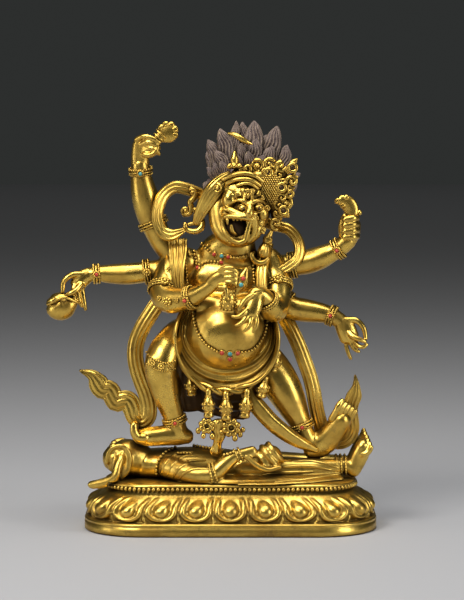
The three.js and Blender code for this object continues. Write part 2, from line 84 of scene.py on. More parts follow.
def axes_along(centre, facing):
    """Directions along, across and out of a line, with out as near to facing as the line lets it be."""
    along = np.gradient(centre, axis=0)
    along /= np.linalg.norm(along, axis=1)[:, None]
    across = np.zeros_like(along)
    before = None
    for i, way in enumerate(along):
        side = np.cross(facing, way)
        if np.linalg.norm(side) < END_ON and before is not None:
            side = before - way * np.dot(before, way)
        side /= np.linalg.norm(side)
        if before is not None and np.dot(side, before) < 0:
            side = -side
        across[i] = before = side
    return along, across, np.cross(along, across)


class Wax:
    """Wax that forms are added to, in small lumps, because adding to a large one is slow."""

    ROOM = 2500

    def __init__(self):
        self.lumps = []
        self.lump = bmesh.new()

    def add(self, mesh):
        if len(self.lump.verts) > self.ROOM:
            self.set_aside()
        self.lump.from_mesh(mesh)
        bpy.data.meshes.remove(mesh)

    def take(self, form):
        """Adds another form, which is used up."""
        mesh = bpy.data.meshes.new("taken")
        form.to_mesh(mesh)
        form.free()
        self.add(mesh)

    def set_aside(self):
        mesh = bpy.data.meshes.new("lump")
        self.lump.to_mesh(mesh)
        self.lumps.append(mesh)
        self.lump.clear()

    def whole(self):
        """All of the wax as one form."""
        self.set_aside()
        for mesh in self.lumps:
            self.lump.from_mesh(mesh)
            bpy.data.meshes.remove(mesh)
        return self.lump


STOCK = {}


def stock(key, make):
    """A shape kept to be copied, made on its first use."""
    if key not in STOCK:
        shape = bmesh.new()
        make(shape)
        bmesh.ops.recalc_face_normals(shape, faces=shape.faces[:])
        STOCK[key] = bpy.data.meshes.new("stock")
        shape.to_mesh(STOCK[key])
        shape.free()
    return STOCK[key].copy()


def tube(segments, rows):
    """A closed tube of unit radius round +Z, its rings one apart and a pole at each end."""

    def make(form):
        bmesh.ops.create_grid(form, x_segments=segments, y_segments=rows - 1, size=0.5)
        for vert in form.verts:
            row = round((vert.co.y + 0.5) * (rows - 1))
            turn = (vert.co.x + 0.5) * math.tau
            reach = float(0 < row < rows - 1)
            vert.co = (reach * math.cos(turn), reach * math.sin(turn), row)
        bmesh.ops.remove_doubles(form, verts=form.verts[:], dist=1e-4)

    return stock(("tube", segments, rows), make)


def bend(form, segments, rows, rule):
    """Adds a closed tube to the form, with each point where the rule puts its angle and its row."""
    mesh = tube(segments, rows)
    places = np.empty(len(mesh.vertices) * 3)
    mesh.vertices.foreach_get("co", places)
    x, y, z = places.reshape(-1, 3).T
    mesh.vertices.foreach_set("co", rule(np.arctan2(y, x), np.rint(z).astype(int)).ravel())
    form.add(mesh)


def plain(angle, share):
    """A round section, the same all along a bar."""
    return np.cos(angle), np.sin(angle)


def fluted(count, depth, twist=0.0, wave=0.0):
    """A round bar with flutes, which may twist round it or wave."""
    def section(angle, share):
        swell = 1 + depth * np.cos(count * angle + twist * share + wave * np.sin(17 * share))
        return swell * np.cos(angle), swell * np.sin(angle)
    return section


def ribbon(ridges, depth):
    """A flat band with rounded edges and ridges that run along it."""
    def section(angle, share):
        u = np.cos(angle)
        v = np.sin(angle)
        return u, np.sign(v) * np.abs(v) ** 0.55 * (1 + depth * np.cos(ridges * math.pi * u))
    return section


ROUNDING = np.radians([90, 60, 30])
THINNEST = 0.08


def limb(form, rows, segments, spacing, facing=(0, -1, 0), section=plain, dome=1.0):
    """A round bar through rows of x, y, z, half width and half thickness, with rounded ends."""
    path = curve(full_rows(rows), spacing)
    centre = path[:, :3]
    girth = np.maximum(path[:, 3:], THINNEST)
    along, across, out = axes_along(centre, np.array(facing, float))
    swing = np.cos(ROUNDING)[:, None]
    reach = dome * np.sin(ROUNDING)[:, None]
    ends = [(0, -1, slice(None)), (-1, 1, slice(None, None, -1))]
    (first, first_girth), (last, last_girth) = [
        ((centre[i] + sign * reach * girth[i].min() * along[i])[order], (swing * girth[i])[order])
        for i, sign, order in ends
    ]
    extra = len(ROUNDING)
    centre = np.vstack([first, centre, last])
    girth = np.vstack([first_girth, girth, last_girth])
    across = np.vstack([across[:1].repeat(extra, 0), across, across[-1:].repeat(extra, 0)])
    out = np.vstack([out[:1].repeat(extra, 0), out, out[-1:].repeat(extra, 0)])
    shares = np.linspace(0, 1, len(centre))

    def rule(angle, row):
        u, v = section(angle, shares[row])
        return (centre[row] + across[row] * (u * girth[row, 0])[:, None]
                + out[row] * (v * girth[row, 1])[:, None])

    bend(form, segments, len(centre), rule)


def ball(form, place, axes, turn=(0, 0, 0), fine=14):
    """A ball with three half axes, turned by degrees about X, Y and Z."""
    def make(stock_form):
        bmesh.ops.create_uvsphere(stock_form, u_segments=fine, v_segments=max(5, fine * 2 // 3), radius=1)

    x, y, z = (math.radians(a) for a in turn)
    spun = Matrix.Rotation(z, 4, "Z") @ Matrix.Rotation(y, 4, "Y") @ Matrix.Rotation(x, 4, "X")
    mesh = stock(("ball", fine), make)
    mesh.transform(Matrix.Translation(place) @ spun @ Matrix.Diagonal((*axes, 1)))
    form.add(mesh)


def bead(form, place, radius, fine=8):
    ball(form, place, (radius, radius, radius), fine=fine)


def turned(form, place, axis, profile, segments, section=plain):
    """A form turned on an axis, its profile given as radius and height along the axis."""
    axis = Vector(axis).normalized()
    spun = axis.to_track_quat("Z", "Y").to_matrix()
    across, out = np.array(spun.col[0]), np.array(spun.col[1])
    radius, height = np.array(profile, float).T
    share = np.linspace(0, 1, len(profile))

    def rule(angle, row):
        u, v = section(angle, share[row])
        r = radius[row]
        return (np.array(place) + np.array(axis) * height[row][:, None]
                + across * (u * r)[:, None] + out * (v * r)[:, None])

    bend(form, segments, len(profile), rule)


def hoop(form, place, axis, radii, thick, segments=40, sides=8, beads=0, bead_size=0.5):
    """A ring about an axis, with an oval of two radii, and a row of beads round it if asked."""
    axis = Vector(axis).normalized()
    front = Vector((0, -1, 0))
    across = front.cross(axis).normalized()
    out = axis.cross(across).normalized()

    def at(turn):
        return Vector(place) + across * radii[0] * math.cos(turn) + out * radii[1] * math.sin(turn)

    if thick > 0:
        ring = [(*at(math.tau * i / segments), thick) for i in range(segments + 2)]
        limb(form, ring, sides, spacing=math.tau * max(radii) / segments, facing=tuple(axis), dome=0.1)
    for i in range(beads):
        bead(form, at(math.tau * i / beads), bead_size)


def scroll(form, place, radius, turns, thick, start, facing=(0, -1, 0), lift=0.0, eye=True):
    """A curl that winds in towards its middle on a plane that faces the viewer."""
    front = Vector(facing).normalized()
    side = front.cross(Vector((0, 0, 1))).normalized()
    up = side.cross(front).normalized()
    steps = max(8, int(abs(turns) * 12))
    rows = []
    for i in range(steps + 1):
        share = i / steps
        turn = math.radians(start) + turns * math.tau * share
        reach = radius * (1 - 0.8 * share)
        at = Vector(place) + (side * math.cos(turn) + up * math.sin(turn)) * reach + front * lift * share
        rows.append((*at, thick * (1 - 0.3 * share)))
    limb(form, rows, 8, spacing=radius * 0.3, facing=facing)
    if eye:
        bead(form, Vector(place) + front * lift, thick * 1.1, 10)


def eyelet(form, place, radius, thick, segments=20, sides=6):
    """A small ring that faces the viewer."""
    hoop(form, place, (0, -1, 0.01), (radius, radius), thick, segments, sides)


def rosette(form, place, radius, facing, depth):
    """A small flower: eight petals round a raised eye."""
    front = Vector(facing).normalized()
    side = front.cross(Vector((0, 0, 1)))
    side = side.normalized() if side.length > 0.1 else Vector((1, 0, 0))
    up = side.cross(front).normalized()
    for i in range(8):
        turn = math.tau * i / 8
        at = Vector(place) + (side * math.cos(turn) + up * math.sin(turn)) * radius * 0.66
        bead(form, at, radius * 0.36, 8)
    ball(form, Vector(place) + front * radius * depth * 0.4, (radius * 0.4,) * 3, fine=10)


def together(*parts):
    """One form of parts that each add themselves to it."""
    form = Wax()
    for part in parts:
        part(form)
    return form


def fused(form, voxel, rubs):
    """The form's overlapping parts grown into one skin, as in the wax, and rubbed smooth."""
    mesh = bpy.data.meshes.new("wax")
    lumps = form.whole()
    lumps.to_mesh(mesh)
    lumps.free()
    wax = bpy.data.objects.new("wax", mesh)
    bpy.context.scene.collection.objects.link(wax)
    skin = wax.modifiers.new("skin", "REMESH")
    skin.mode = "VOXEL"
    skin.voxel_size = voxel
    rub = wax.modifiers.new("rub", "SMOOTH")
    rub.iterations = rubs
    rub.factor = 0.5
    bpy.context.view_layer.update()
    done = bmesh.new()
    done.from_object(wax, bpy.context.evaluated_depsgraph_get())
    bpy.data.objects.remove(wax)
    bpy.data.meshes.remove(mesh)
    return done


FAR_IN_FRONT = -150
CHEST_FRONT = -12


def front_of(tree, x, z):
    """Where the skin first meets the viewer's eye at a place across and up, and its normal there."""
    place, normal, _, _ = tree.ray_cast(Vector((x, FAR_IN_FRONT, z)), Vector((0, 1, 0)))
    if place is None:
        place, normal, _, _ = tree.find_nearest(Vector((x, CHEST_FRONT, z)))
    return place, -normal if normal.y > 0 else normal


def strung(form, tree, route, radius, pitch, sink):
    """Beads on the front of the skin along a route of places across and up."""
    line = curve([(x, 0, z) for x, z in route], pitch)
    for x, _, z in line:
        place, normal = front_of(tree, x, z)
        bead(form, place + normal * radius * (1 - sink), radius)


IN_METRES = Matrix.Identity(4)
IN_PARTS = Matrix.Translation((0, 0, SEAT)) @ Matrix.Scale(PART, 4)


def cast(name, form, finish, slot, *nodes, units=IN_PARTS):
    """Gives a form its finish and its place in the frame, as one piece."""
    if isinstance(form, Wax):
        form = form.whole()
    mesh = bpy.data.meshes.new(name)
    form.to_mesh(mesh)
    form.free()
    mesh.transform(units)
    mesh.shade_smooth()
    mesh.materials.append(finish)
    piece = bpy.data.objects.new(name, mesh)
    bpy.context.scene.collection.objects.link(piece)
    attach(piece, "root")
    if nodes:
        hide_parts(*nodes)
    return piece


# Finishes

class Value:
    """A number that changes over the surface, with arithmetic."""

    def __init__(self, finish, socket):
        self.finish = finish
        self.socket = socket

    def math(self, operation, *parts):
        node = self.finish.node("ShaderNodeMath", {"operation": operation}, dict(enumerate(parts)))
        return node["Value"]

    def __add__(self, other):
        return self.math("ADD", self, other)

    __radd__ = __add__

    def __sub__(self, other):
        return self.math("SUBTRACT", self, other)

    def __rsub__(self, other):
        return self.math("SUBTRACT", other, self)

    def __mul__(self, other):
        return self.math("MULTIPLY", self, other)

    __rmul__ = __mul__

    def __pow__(self, other):
        return self.math("POWER", self, other)

    def clamped(self):
        return self.math("MINIMUM", self.math("MAXIMUM", self, 0.0), 1.0)

    def between(self, low, high):
        """0 below low, 1 above high and even in between."""
        return ((self - low) * (1 / (high - low))).clamped()


class Finish:
    """A surface finish built of nodes."""

    def __init__(self, name):
        self.material = bpy.data.materials.new(name)
        self.material.use_nodes = True
        self.tree = self.material.node_tree
        self.shader = self.tree.nodes["Principled BSDF"]
        self.place = self.node("ShaderNodeTexCoord", {}, {})["Object"]

    def node(self, kind, settings, sockets):
        """Adds a node with its settings and its sockets' values or links, and gives its outputs."""
        node = self.tree.nodes.new(kind)
        for name, value in settings.items():
            if name == "stops":
                for stop, (at, colour) in zip(node.color_ramp.elements, value):
                    stop.position = at
                    stop.color = (*colour, 1)
            else:
                setattr(node, name, value)
        for name, value in sockets.items():
            self.put(node.inputs[name], value)
        return {output.name: Value(self, output) for output in node.outputs if output.enabled}

    def put(self, socket, value):
        if isinstance(value, Value):
            self.tree.links.new(value.socket, socket)
        elif isinstance(value, tuple) and len(value) == 3 and socket.type == "RGBA":
            socket.default_value = (*value, 1)
        else:
            socket.default_value = value

    def noise(self, scale, detail, roughness):
        return self.node("ShaderNodeTexNoise", {}, {
            "Vector": self.place, "Scale": scale, "Detail": detail, "Roughness": roughness,
        })["Fac"]

    def mix(self, factor, first, second):
        node = self.node("ShaderNodeMix", {"data_type": "RGBA"}, {})
        mixer = node["Result"].socket.node
        colours = [socket for socket in mixer.inputs if socket.type == "RGBA"]
        self.put(mixer.inputs["Factor"], factor)
        self.put(colours[0], first)
        self.put(colours[1], second)
        return Value(self, next(out for out in mixer.outputs if out.type == "RGBA"))

    def hollows(self, reach):
        """1 deep in a hollow and 0 out in the open, from occlusion: the mask for painted shade in
        hollows.
        """
        shade = self.node("ShaderNodeAmbientOcclusion", {"samples": 8}, {"Distance": reach})
        return 1 - shade["AO"]

    def edges(self):
        return self.node("ShaderNodeNewGeometry", {}, {})["Pointiness"]

    def bump(self, height, strength, depth):
        return self.node("ShaderNodeBump", {}, {
            "Height": height, "Strength": strength, "Distance": depth,
        })["Normal"]

    def set(self, **sockets):
        for name, value in sockets.items():
            self.put(self.shader.inputs[name.replace("_", " ")], value)
        return self.material


BROWNED = (0.2, 0.125, 0.05)
RUBBED_THROUGH = (0.62, 0.47, 0.26)
# Near black painted shade for the engraved hollows of the painted hair.
HOLLOW_SHADE = (0.016, 0.01, 0.01)


def gilding(name, bright, warm, dark, wear, sheen):
    """Fire gilding: bright where it is rubbed, thin and reddish in patches, and dark brown in the hollows
    as painted shade that also stands for the brown patina there.
    """
    finish = Finish(name)
    hollow = finish.hollows(0.006).between(0.14, 0.74)
    patches = finish.noise(70, 4, 0.6).between(0.42, 0.66)
    specks = finish.noise(900, 3, 0.6).between(0.58, 0.74)
    worn = finish.noise(170, 6, 0.72).between(0.56, 0.66)
    tone = finish.mix(patches * wear, bright, warm)
    tone = finish.mix(worn * (0.5 * wear), tone, BROWNED)
    # Painted shade: the hollows take the dark colour where shade falls, which also stands for brown
    # patina there.
    tone = finish.mix(hollow ** 1.2, tone, dark)
    tone = finish.mix(specks * (0.25 * wear), tone, dark)
    uneven = finish.noise(260, 3, 0.5)
    grain = finish.noise(1900, 2, 0.5)
    return finish.set(
        Base_Color=tone,
        Metallic=1.0,
        Roughness=(sheen + 0.1 * patches + 0.22 * hollow + 0.08 * grain).clamped(),
        Normal=finish.bump(uneven + 0.25 * grain, 0.22, 0.0004),
    )


def paint(name, bright, dark):
    """Old matt paint over engraved bronze, rubbed on the raised strands, with near black painted shade in
    the engraved hollows.
    """
    finish = Finish(name)
    hollow = finish.hollows(0.0022).between(0.08, 0.7)
    rubbed = finish.noise(420, 4, 0.65).between(0.4, 0.7)
    tone = finish.mix(rubbed, dark, bright)
    tone = finish.mix(finish.edges().between(0.54, 0.64) * 0.8, tone, RUBBED_THROUGH)
    # Painted shade: the engraved hollows go near black, where shade falls.
    tone = finish.mix(hollow, tone, HOLLOW_SHADE)
    return finish.set(
        Base_Color=tone,
        Metallic=0.25,
        Roughness=0.5 + 0.2 * rubbed,
        Normal=finish.bump(finish.noise(1500, 3, 0.6), 0.4, 0.0003),
    )


def stone(name, colour, deep):
    finish = Finish(name)
    cloud = finish.noise(600, 3, 0.6).between(0.35, 0.7)
    return finish.set(Base_Color=finish.mix(cloud, colour, deep), Roughness=0.22 + 0.1 * cloud)


FIRE_GILT = gilding("fire_gilt", (0.8, 0.53, 0.105), (0.5, 0.3, 0.055), (0.075, 0.04, 0.012), 0.85, 0.23)
WORN_GILT = gilding("worn_gilt", (0.79, 0.53, 0.11), (0.5, 0.31, 0.06), (0.075, 0.042, 0.014), 1.0, 0.26)
HAIR_PAINT = paint("painted_hair", (0.3, 0.22, 0.18), (0.1, 0.065, 0.06))
# A near black finish: painted shade inside the open mouth, in the crown's rings and on the skirt's back
# cloth, and the dark of the pupils.
SHADE_AND_PUPILS_FINISH = gilding(
    "dark_bronze", (0.1, 0.065, 0.035), (0.08, 0.045, 0.025), (0.012, 0.009, 0.007), 1.0, 0.4,
)
CORAL = stone("coral", (0.6, 0.07, 0.03), (0.36, 0.025, 0.015))
TURQUOISE = stone("turquoise", (0.1, 0.42, 0.4), (0.05, 0.24, 0.26))


# Plinth, in metres from the frame

FOOT_HEIGHT = 0.0066
LOTUS_HEIGHT = 0.0134
RIM_HEIGHT = PLINTH_HIGH.z - FOOT_HEIGHT - LOTUS_HEIGHT
PLINTH_LENGTH = PLINTH_HIGH.x - PLINTH_LOW.x
PLINTH_DEPTH = PLINTH_HIGH.y - PLINTH_LOW.y
PLINTH_CORNER = 0.030
RIM_INSET = 0.010
RIM_CORNER = 0.023
PETALS = 22
PETAL_COLUMNS = 26
PETAL_ROWS = 34
PETAL_BULGE = 0.0028
PETAL_REACH = 0.86
PETAL_WIDEST = 0.55  # how far up a petal it and its boss are widest
BACK_TIPS_END = 0.4
BORDER_AT, BORDER_WIDTH = 0.77, 0.2
BOSS_WIDTH, BOSS_HEIGHT = 0.48, 0.38
FOOT_EASE = 0.0009
FOOT_GROOVE = [(0.0046, 0.00005), (0.0049, 0.0004), (0.0052, 0.0001)]
LOTUS_STEP = 0.0031
LOTUS_LEAN = 0.0080
LOTUS_LIFT = 0.0002
RIM_PROFILE = [
    (0.0012, 0.0016), (0.0021, 0.0016), (0.0029, 0.0006), (0.0033, 0.0001), (0.0038, 0.0001),
    (0.0044, 0.0008), (RIM_HEIGHT, 0.0016),
]
RIM_BEADS = 134
RIM_BEAD_RADIUS = 0.00108
RIM_BEAD_HEIGHT = 0.0022


def oblong(share, inset, corner, dent=0.0):
    """Places round an oblong with rounded corners, seen from above, from the middle of its front.
    A dent sets a place further in by its own amount."""
    half_x = PLINTH_LENGTH / 2 - inset - corner
    half_y = PLINTH_DEPTH / 2 - inset - corner
    arc = corner * math.pi / 2
    # A straight run moves the corner's middle, and an arc turns round it
    ends = np.cumsum([0, half_x, arc, 2 * half_y, arc, 2 * half_x, arc, 2 * half_y, arc, half_x])
    go = share % 1.0 * ends[-1]
    middle_x = half_x * np.interp(go, ends, [0, 1, 1, 1, 1, -1, -1, -1, -1, 0])
    middle_y = half_y * np.interp(go, ends, [-1, -1, -1, 1, 1, 1, 1, -1, -1, -1])
    turn = np.radians(np.interp(go, ends, [-90, -90, 0, 0, 90, 90, 180, 180, 270, 270]))
    return middle_x + (corner - dent) * np.cos(turn), middle_y + (corner - dent) * np.sin(turn)


def petal_relief(across, up):
    """How far a petal stands out, from -1 to 1 across it and 0 to 1 up it: an egg-shaped boss, a
    rounded border that closes at the bottom, and tips of back petals in between."""
    up = up / PETAL_REACH
    drop = max(PETAL_WIDEST - up, 0) / PETAL_WIDEST
    edge = np.hypot(across * (0.98 + 0.1 * max(up - 0.5, 0)), drop ** 1.1)
    roll = np.clip(1 - np.abs(edge - BORDER_AT) / BORDER_WIDTH, 0, 1)
    border = 0.78 * np.clip(1.6 * roll, 0, 1) ** 0.6
    egg = np.hypot(across / BOSS_WIDTH, (up - PETAL_WIDEST) / BOSS_HEIGHT)
    boss = 1.25 * np.clip(1 - egg ** 2, 0, 1) ** 0.55
    floor = 0.2 * np.clip(1 - edge, 0, 1) ** 0.5
    tip_width = 0.03 + 0.34 * max(BACK_TIPS_END - up, 0)
    tip = np.clip(1 - np.abs(1 - np.abs(across)) / tip_width, 0, 1)
    tip = 0.6 * tip ** 0.7 * (up < BACK_TIPS_END)
    fade = min(max((1 - up) / 0.3, 0), 1) ** 0.5
    return np.maximum(np.maximum(border, boss), np.maximum(floor, tip)) * fade


def plinth_rings():
    """Height, inset and share up the petals of each ring round the plinth, from the underside up."""
    ease = [(FOOT_EASE * (1 - math.cos(a)), FOOT_EASE * (1 - math.sin(a)))
            for a in np.radians([0, 30, 60, 90])]
    rings = [(0.0, 0.0, None)]
    rings += [(z, inset, None) for z, inset in ease + FOOT_GROOVE]
    rings += [(FOOT_HEIGHT - z, inset, None) for z, inset in reversed(ease)]
    for up in np.linspace(0, 1, PETAL_ROWS):
        lean = LOTUS_LEAN * (0.88 * up ** 2.8 + 0.12 * up)
        rings.append((FOOT_HEIGHT + LOTUS_LIFT + up * LOTUS_HEIGHT, LOTUS_STEP + lean, up))
    neck = FOOT_HEIGHT + LOTUS_HEIGHT
    rings += [(neck + z, RIM_INSET + inset, None) for z, inset in RIM_PROFILE]
    rings.append((PLINTH_HIGH.z, 0.0, None))
    return rings


def plinth():
    """One casting from the underside up: foot band, lotus, hollow neck and the rim's edge."""
    rings = plinth_rings()
    height = np.array([ring[0] for ring in rings])

    def rule(angle, row):
        share = (angle / math.tau + 0.25) % 1.0
        phase = ((share * PETALS + 0.5) % 1.0) * 2 - 1
        x = np.zeros_like(share)
        y = np.zeros_like(share)
        for i, (z, inset, up) in enumerate(rings[1:-1], 1):
            here = row == i
            dent = 0 * phase[here] if up is None else -PETAL_BULGE * petal_relief(phase[here], up)
            blend = min(1.0, max(0.0, (z - FOOT_HEIGHT) / LOTUS_HEIGHT))
            corner = PLINTH_CORNER + (RIM_CORNER - PLINTH_CORNER) * blend
            x[here], y[here] = oblong(share[here], inset + dent.mean(), corner, dent - dent.mean())
        return np.column_stack([x, y, height[row]])

    form = Wax()
    bend(form, PETALS * PETAL_COLUMNS, len(rings), rule)
    return form


def rim_beads():
    form = Wax()
    x, y = oblong(np.arange(RIM_BEADS) / RIM_BEADS, RIM_INSET + 0.0003, RIM_CORNER)
    for at_x, at_y in zip(x, y):
        bead(form, (at_x, at_y, FOOT_HEIGHT + LOTUS_HEIGHT + RIM_BEAD_HEIGHT), RIM_BEAD_RADIUS)
    return form


cast("lotus_base", plinth(), WORN_GILT, "worn_gilt", "lotus_plinth", units=IN_METRES)
cast("rim_beads", rim_beads(), WORN_GILT, "worn_gilt", units=IN_METRES)


# The elephant-headed figure that lies on its back, head to the viewer's left

def digits(form, joints, radius, count=4, taper=0.72):
    """Fingers or toes side by side: each joint is given for the first and for the last of them."""
    for i in range(count):
        share = i / max(1, count - 1)
        rows = []
        for j, (first, last) in enumerate(joints):
            at = [a + (b - a) * share for a, b in zip(first, last)]
            rows.append((*at, radius * (1 - (1 - taper) * j / (len(joints) - 1))))
        limb(form, rows, 10, 0.8)


LYING_ARM = [
    (-31, -12, 6, 5.6), (-24, -17.5, 4.6, 5.2), (-15, -21.5, 3.6, 4.7), (-8.5, -22, 4.4, 4.5),
    (-3, -21, 8.8, 4.1), (2, -20, 12.4, 3.3), (6, -19.6, 14, 2.7), (11, -19, 14.6, 3.3, 2.4),
]
UP = (0, 0, 1)
FRUIT = Vector((19.6, -15.6, 12))


def lying_body(form):
    limb(form, [
        (-44, -1, 6, 9, 7.6), (-36, -1.5, 6.4, 11.8, 7.9), (-28, -2, 6.5, 13, 8),
        (-18, -1.6, 6.4, 12.4, 8.4), (-8, -1, 6, 12.6, 8.2), (2, 0, 5.2, 12.6, 7.6), (12, 0, 4, 13, 7),
    ], 24, 2, UP)
    limb(form, [
        (-57, -3, 9.2, 7.6, 7.4), (-54, -3, 9.6, 9.4, 9.2), (-48, -2, 8.6, 9.6, 9.2),
        (-40, -1, 6, 7, 6.6),
    ], 20, 1.6, UP)


def lying_side(form, side):
    """An ear, an eye and a leg of the lying figure, with the viewer's at -1 and the far ones at 1."""
    ball(form, (-55.4, side * 9.4 - 3, 9.4), (6, 2, 7.4), (0, 16, 0), fine=22)
    ear = [
        (-61.4, 8.6), (-60.8, 13.2), (-57.6, 16.6), (-53.6, 16.8), (-50.6, 13.6), (-50, 8.6),
        (-51.6, 3.6), (-54.4, 0.8),
    ]
    limb(form, [(x, side * 10.6 - 3, z, 1.15) for x, z in ear], 10, 0.8)
    for fold in (
        [(-58.8, 11.4), (-58, 7.4), (-56.4, 2.4)],
        [(-56.4, 13.6), (-55.6, 8), (-55.2, 1.8)],
        [(-53.4, 13.4), (-52.8, 8.2), (-53.8, 2.2)],
    ):
        limb(form, [(x, side * 11.4 - 3, z, size) for (x, z), size in zip(fold, (0.7, 1, 0.7))], 8, 0.8)
    ball(form, (-58.4, side * 5.4 - 3, 16.2), (2, 1.7, 1.5))
    limb(form, [
        (6, side * 7.4, 5, 7, 7.4), (18, side * 8, 4.9, 7.2, 6.8), (30, side * 8, 4.6, 6.9, 6.1),
        (42, side * 7.6, 4.6, 5.9, 5.4), (52, side * 6.8, 5.4, 4.4, 4.3), (58, side * 6.2, 5.6, 3.5, 3.7),
        (61.6, side * 6, 4.8, 4, 4.2),
    ], 18, 1.6, UP)
    limb(form, [
        (61.4, side * 6, 4, 4, 4), (63.6, side * 6, 8.8, 3.9, 4.4), (65.4, side * 6, 13, 4.3, 4.4),
        (66, side * 6, 15.8, 4.4, 3.8),
    ], 14, 1.2, (1, 0, -0.4))
    digits(form, [
        ((65.8, side * 6 - 3.5, 12), (64.6, side * 6 + 3.5, 17)),
        ((68.8, side * 6 - 3.8, 13.2), (66.8, side * 6 + 3.8, 19.6)),
        ((70.2, side * 6 - 3.9, 15.6), (67.4, side * 6 + 3.9, 21.6)),
    ], 1.5, 5, 0.9)


def elephant_trunk(form):
    limb(form, [
        (-53.6, -10, 12.6, 2.4), (-54.6, -15.4, 10.6, 2.3), (-56, -18, 7, 2.2), (-56.8, -19, 3.6, 2.4),
        (-58.8, -18.8, 0.8, 2.6), (-62.4, -18, -0.8, 2.6), (-65.8, -17.2, -1.6, 2.4),
        (-68, -16.6, -2, 2.3), (-69, -16.4, -2, 2.1),
    ], 16, 0.8, UP, section=fluted(2, 0.05))
    for share in range(7):
        bead(form, (-60.4 - 1.4 * share, -19.6 + 0.4 * share, 1.9 - 0.45 * share), 0.9, 8)


def lying_arms(form):
    limb(form, LYING_ARM, 16, 1.4)
    limb(form, [
        (-31, 12, 6, 5), (-24, 16.6, 5, 4.7), (-15, 18, 4.4, 4.4), (-4, 17, 5, 4), (6, 12, 9, 3),
    ], 14, 1.6)


def fruit_in_hand(form):
    """A round fruit, and fingers that close over it side by side from its upper left."""
    ball(form, FRUIT, (6.2, 5.8, 5.8), fine=24)
    beside = Vector((0.77, 0, 0.64))
    over = Vector((0.64, 0, -0.77))
    for shift in (-3.4, 0, 3.4):
        reach = math.sqrt(6.6 ** 2 - shift ** 2)
        rows = []
        for turn in np.radians(range(-80, 71, 15)):
            at = FRUIT + beside * shift + over * reach * math.sin(turn)
            rows.append((at.x, at.y - 0.92 * reach * math.cos(turn), at.z, 1.5))
        limb(form, rows, 12, 0.8)
    limb(form, [
        (8, -21.4, 12.6, 1.5), (13.4, -23, 8.4, 1.4), (18.6, -23.2, 6.4, 1.3), (24.4, -22.4, 7.6, 1.1),
    ], 10, 0.8)


def spread_cloth(form):
    """Cloth that lies on the plinth beside the body."""
    limb(form, [
        (-24, -14, 0, 7, 2.6), (-8, -17, 0, 8.6, 2.4), (4, -18, 0, 9, 2.2), (30, -18, 0, 8, 2.6),
        (54, -10, 0, 5, 2.2),
    ], 24, 1.4, UP, section=fluted(5, 0.1, 5))


def lying_wax():
    form = Wax()
    lying_body(form)
    for side in (-1, 1):
        lying_side(form, side)
    for part in (elephant_trunk, lying_arms, fruit_in_hand, spread_cloth):
        part(form)
    return form


FOLD_SINK = 0.35


def fold_lines(form, tree, routes, thick):
    """Raised folds on the front of a skin, along routes of places across and up."""
    for route in routes:
        line = curve([(x, 0, z) for x, z in route], 0.9)
        rows = []
        for i, (x, _, z) in enumerate(line):
            place, normal = front_of(tree, x, z)
            share = i / (len(line) - 1)
            swell = thick * (0.35 + 0.65 * math.sin(math.pi * (0.08 + 0.84 * share)))
            rows.append((*(place - normal * swell * FOLD_SINK), swell))
        limb(form, rows, 8, 0.9)


# Half the length and depth of the plinth's flat top, where the figure's back is flat too
FLAT_LENGTH, FLAT_DEPTH = 61, 27.4
ROBE_FOLDS = [
    [(-34.6, 3), (-32.4, 8.6), (-27, 12.6), (-19, 13.4)],
    [(-31.6, 2.6), (-29, 8), (-24, 11.2), (-15, 11.6)],
    [(-28.6, 2), (-26, 6.4), (-21.6, 9), (-12.6, 9.4)],
    [(-25.6, 1.6), (-23, 4.8), (-18.6, 6.8), (-11, 7.2)],
    [(16, 2.6), (22, 3.4), (30, 3.6), (41, 4)],
    [(26, 6.4), (34, 7), (42, 6.4), (50, 4.6)],
    [(31, 9), (38, 9.2), (46, 8), (54, 5.4)],
    [(22, 0.8), (34, 1.6), (46, 2.2), (56, 2.6)],
]


def lying_figure():
    skin = fused(lying_wax(), voxel=0.55, rubs=5)
    for vert in skin.verts:
        if abs(vert.co.x) < FLAT_LENGTH and abs(vert.co.y) < FLAT_DEPTH:
            vert.co.z = max(vert.co.z, 0.0)
    tree = BVHTree.FromBMesh(skin)
    folds = Wax()
    fold_lines(folds, tree, ROBE_FOLDS, 1.0)
    whole = Wax()
    whole.take(skin)
    whole.take(folds.whole())
    return whole, tree


lying_skin, lying_tree = lying_figure()


def lying_jewels():
    form = Wax()
    strung(form, lying_tree, [
        (-36.4, 3.4), (-36, 8), (-33.4, 12), (-27, 14.4), (-20, 14.8), (-12, 14.2), (-3, 13.2),
        (1.6, 14.8),
    ], 0.85, 1.55, 0.1)
    for x, z, tilt in ((-9.6, 4.2, 0.2), (-7.6, 4.8, 0.3)):
        hoop(form, (x, -21.9, z), (1, 0, tilt), (5, 5), 0.5, beads=22, bead_size=0.75)
    for shift in (-1.0, 0.8):
        hoop(
            form, (4 + shift, -19.8, 13.4 + shift * 0.5), (1, 0.1, 0.4), (3.3, 3.3), 0.45, beads=18,
            bead_size=0.6,
        )
    for side in (-1, 1):
        for shift in (-2.2, 0, 2.2):
            hoop(
                form, (55.4 + shift, side * 6.4, 5.6), (1, 0, 0), (4.1, 4.1), 0.45, beads=20,
                bead_size=0.62,
            )
    return form


lying_ornaments = lying_jewels()
cast("lying_figure", lying_skin, WORN_GILT, "worn_gilt_figure", "elephant_headed_figure")
cast("lying_figure_jewels", lying_ornaments, WORN_GILT, "worn_gilt_figure")


# The deity: body, arms and legs

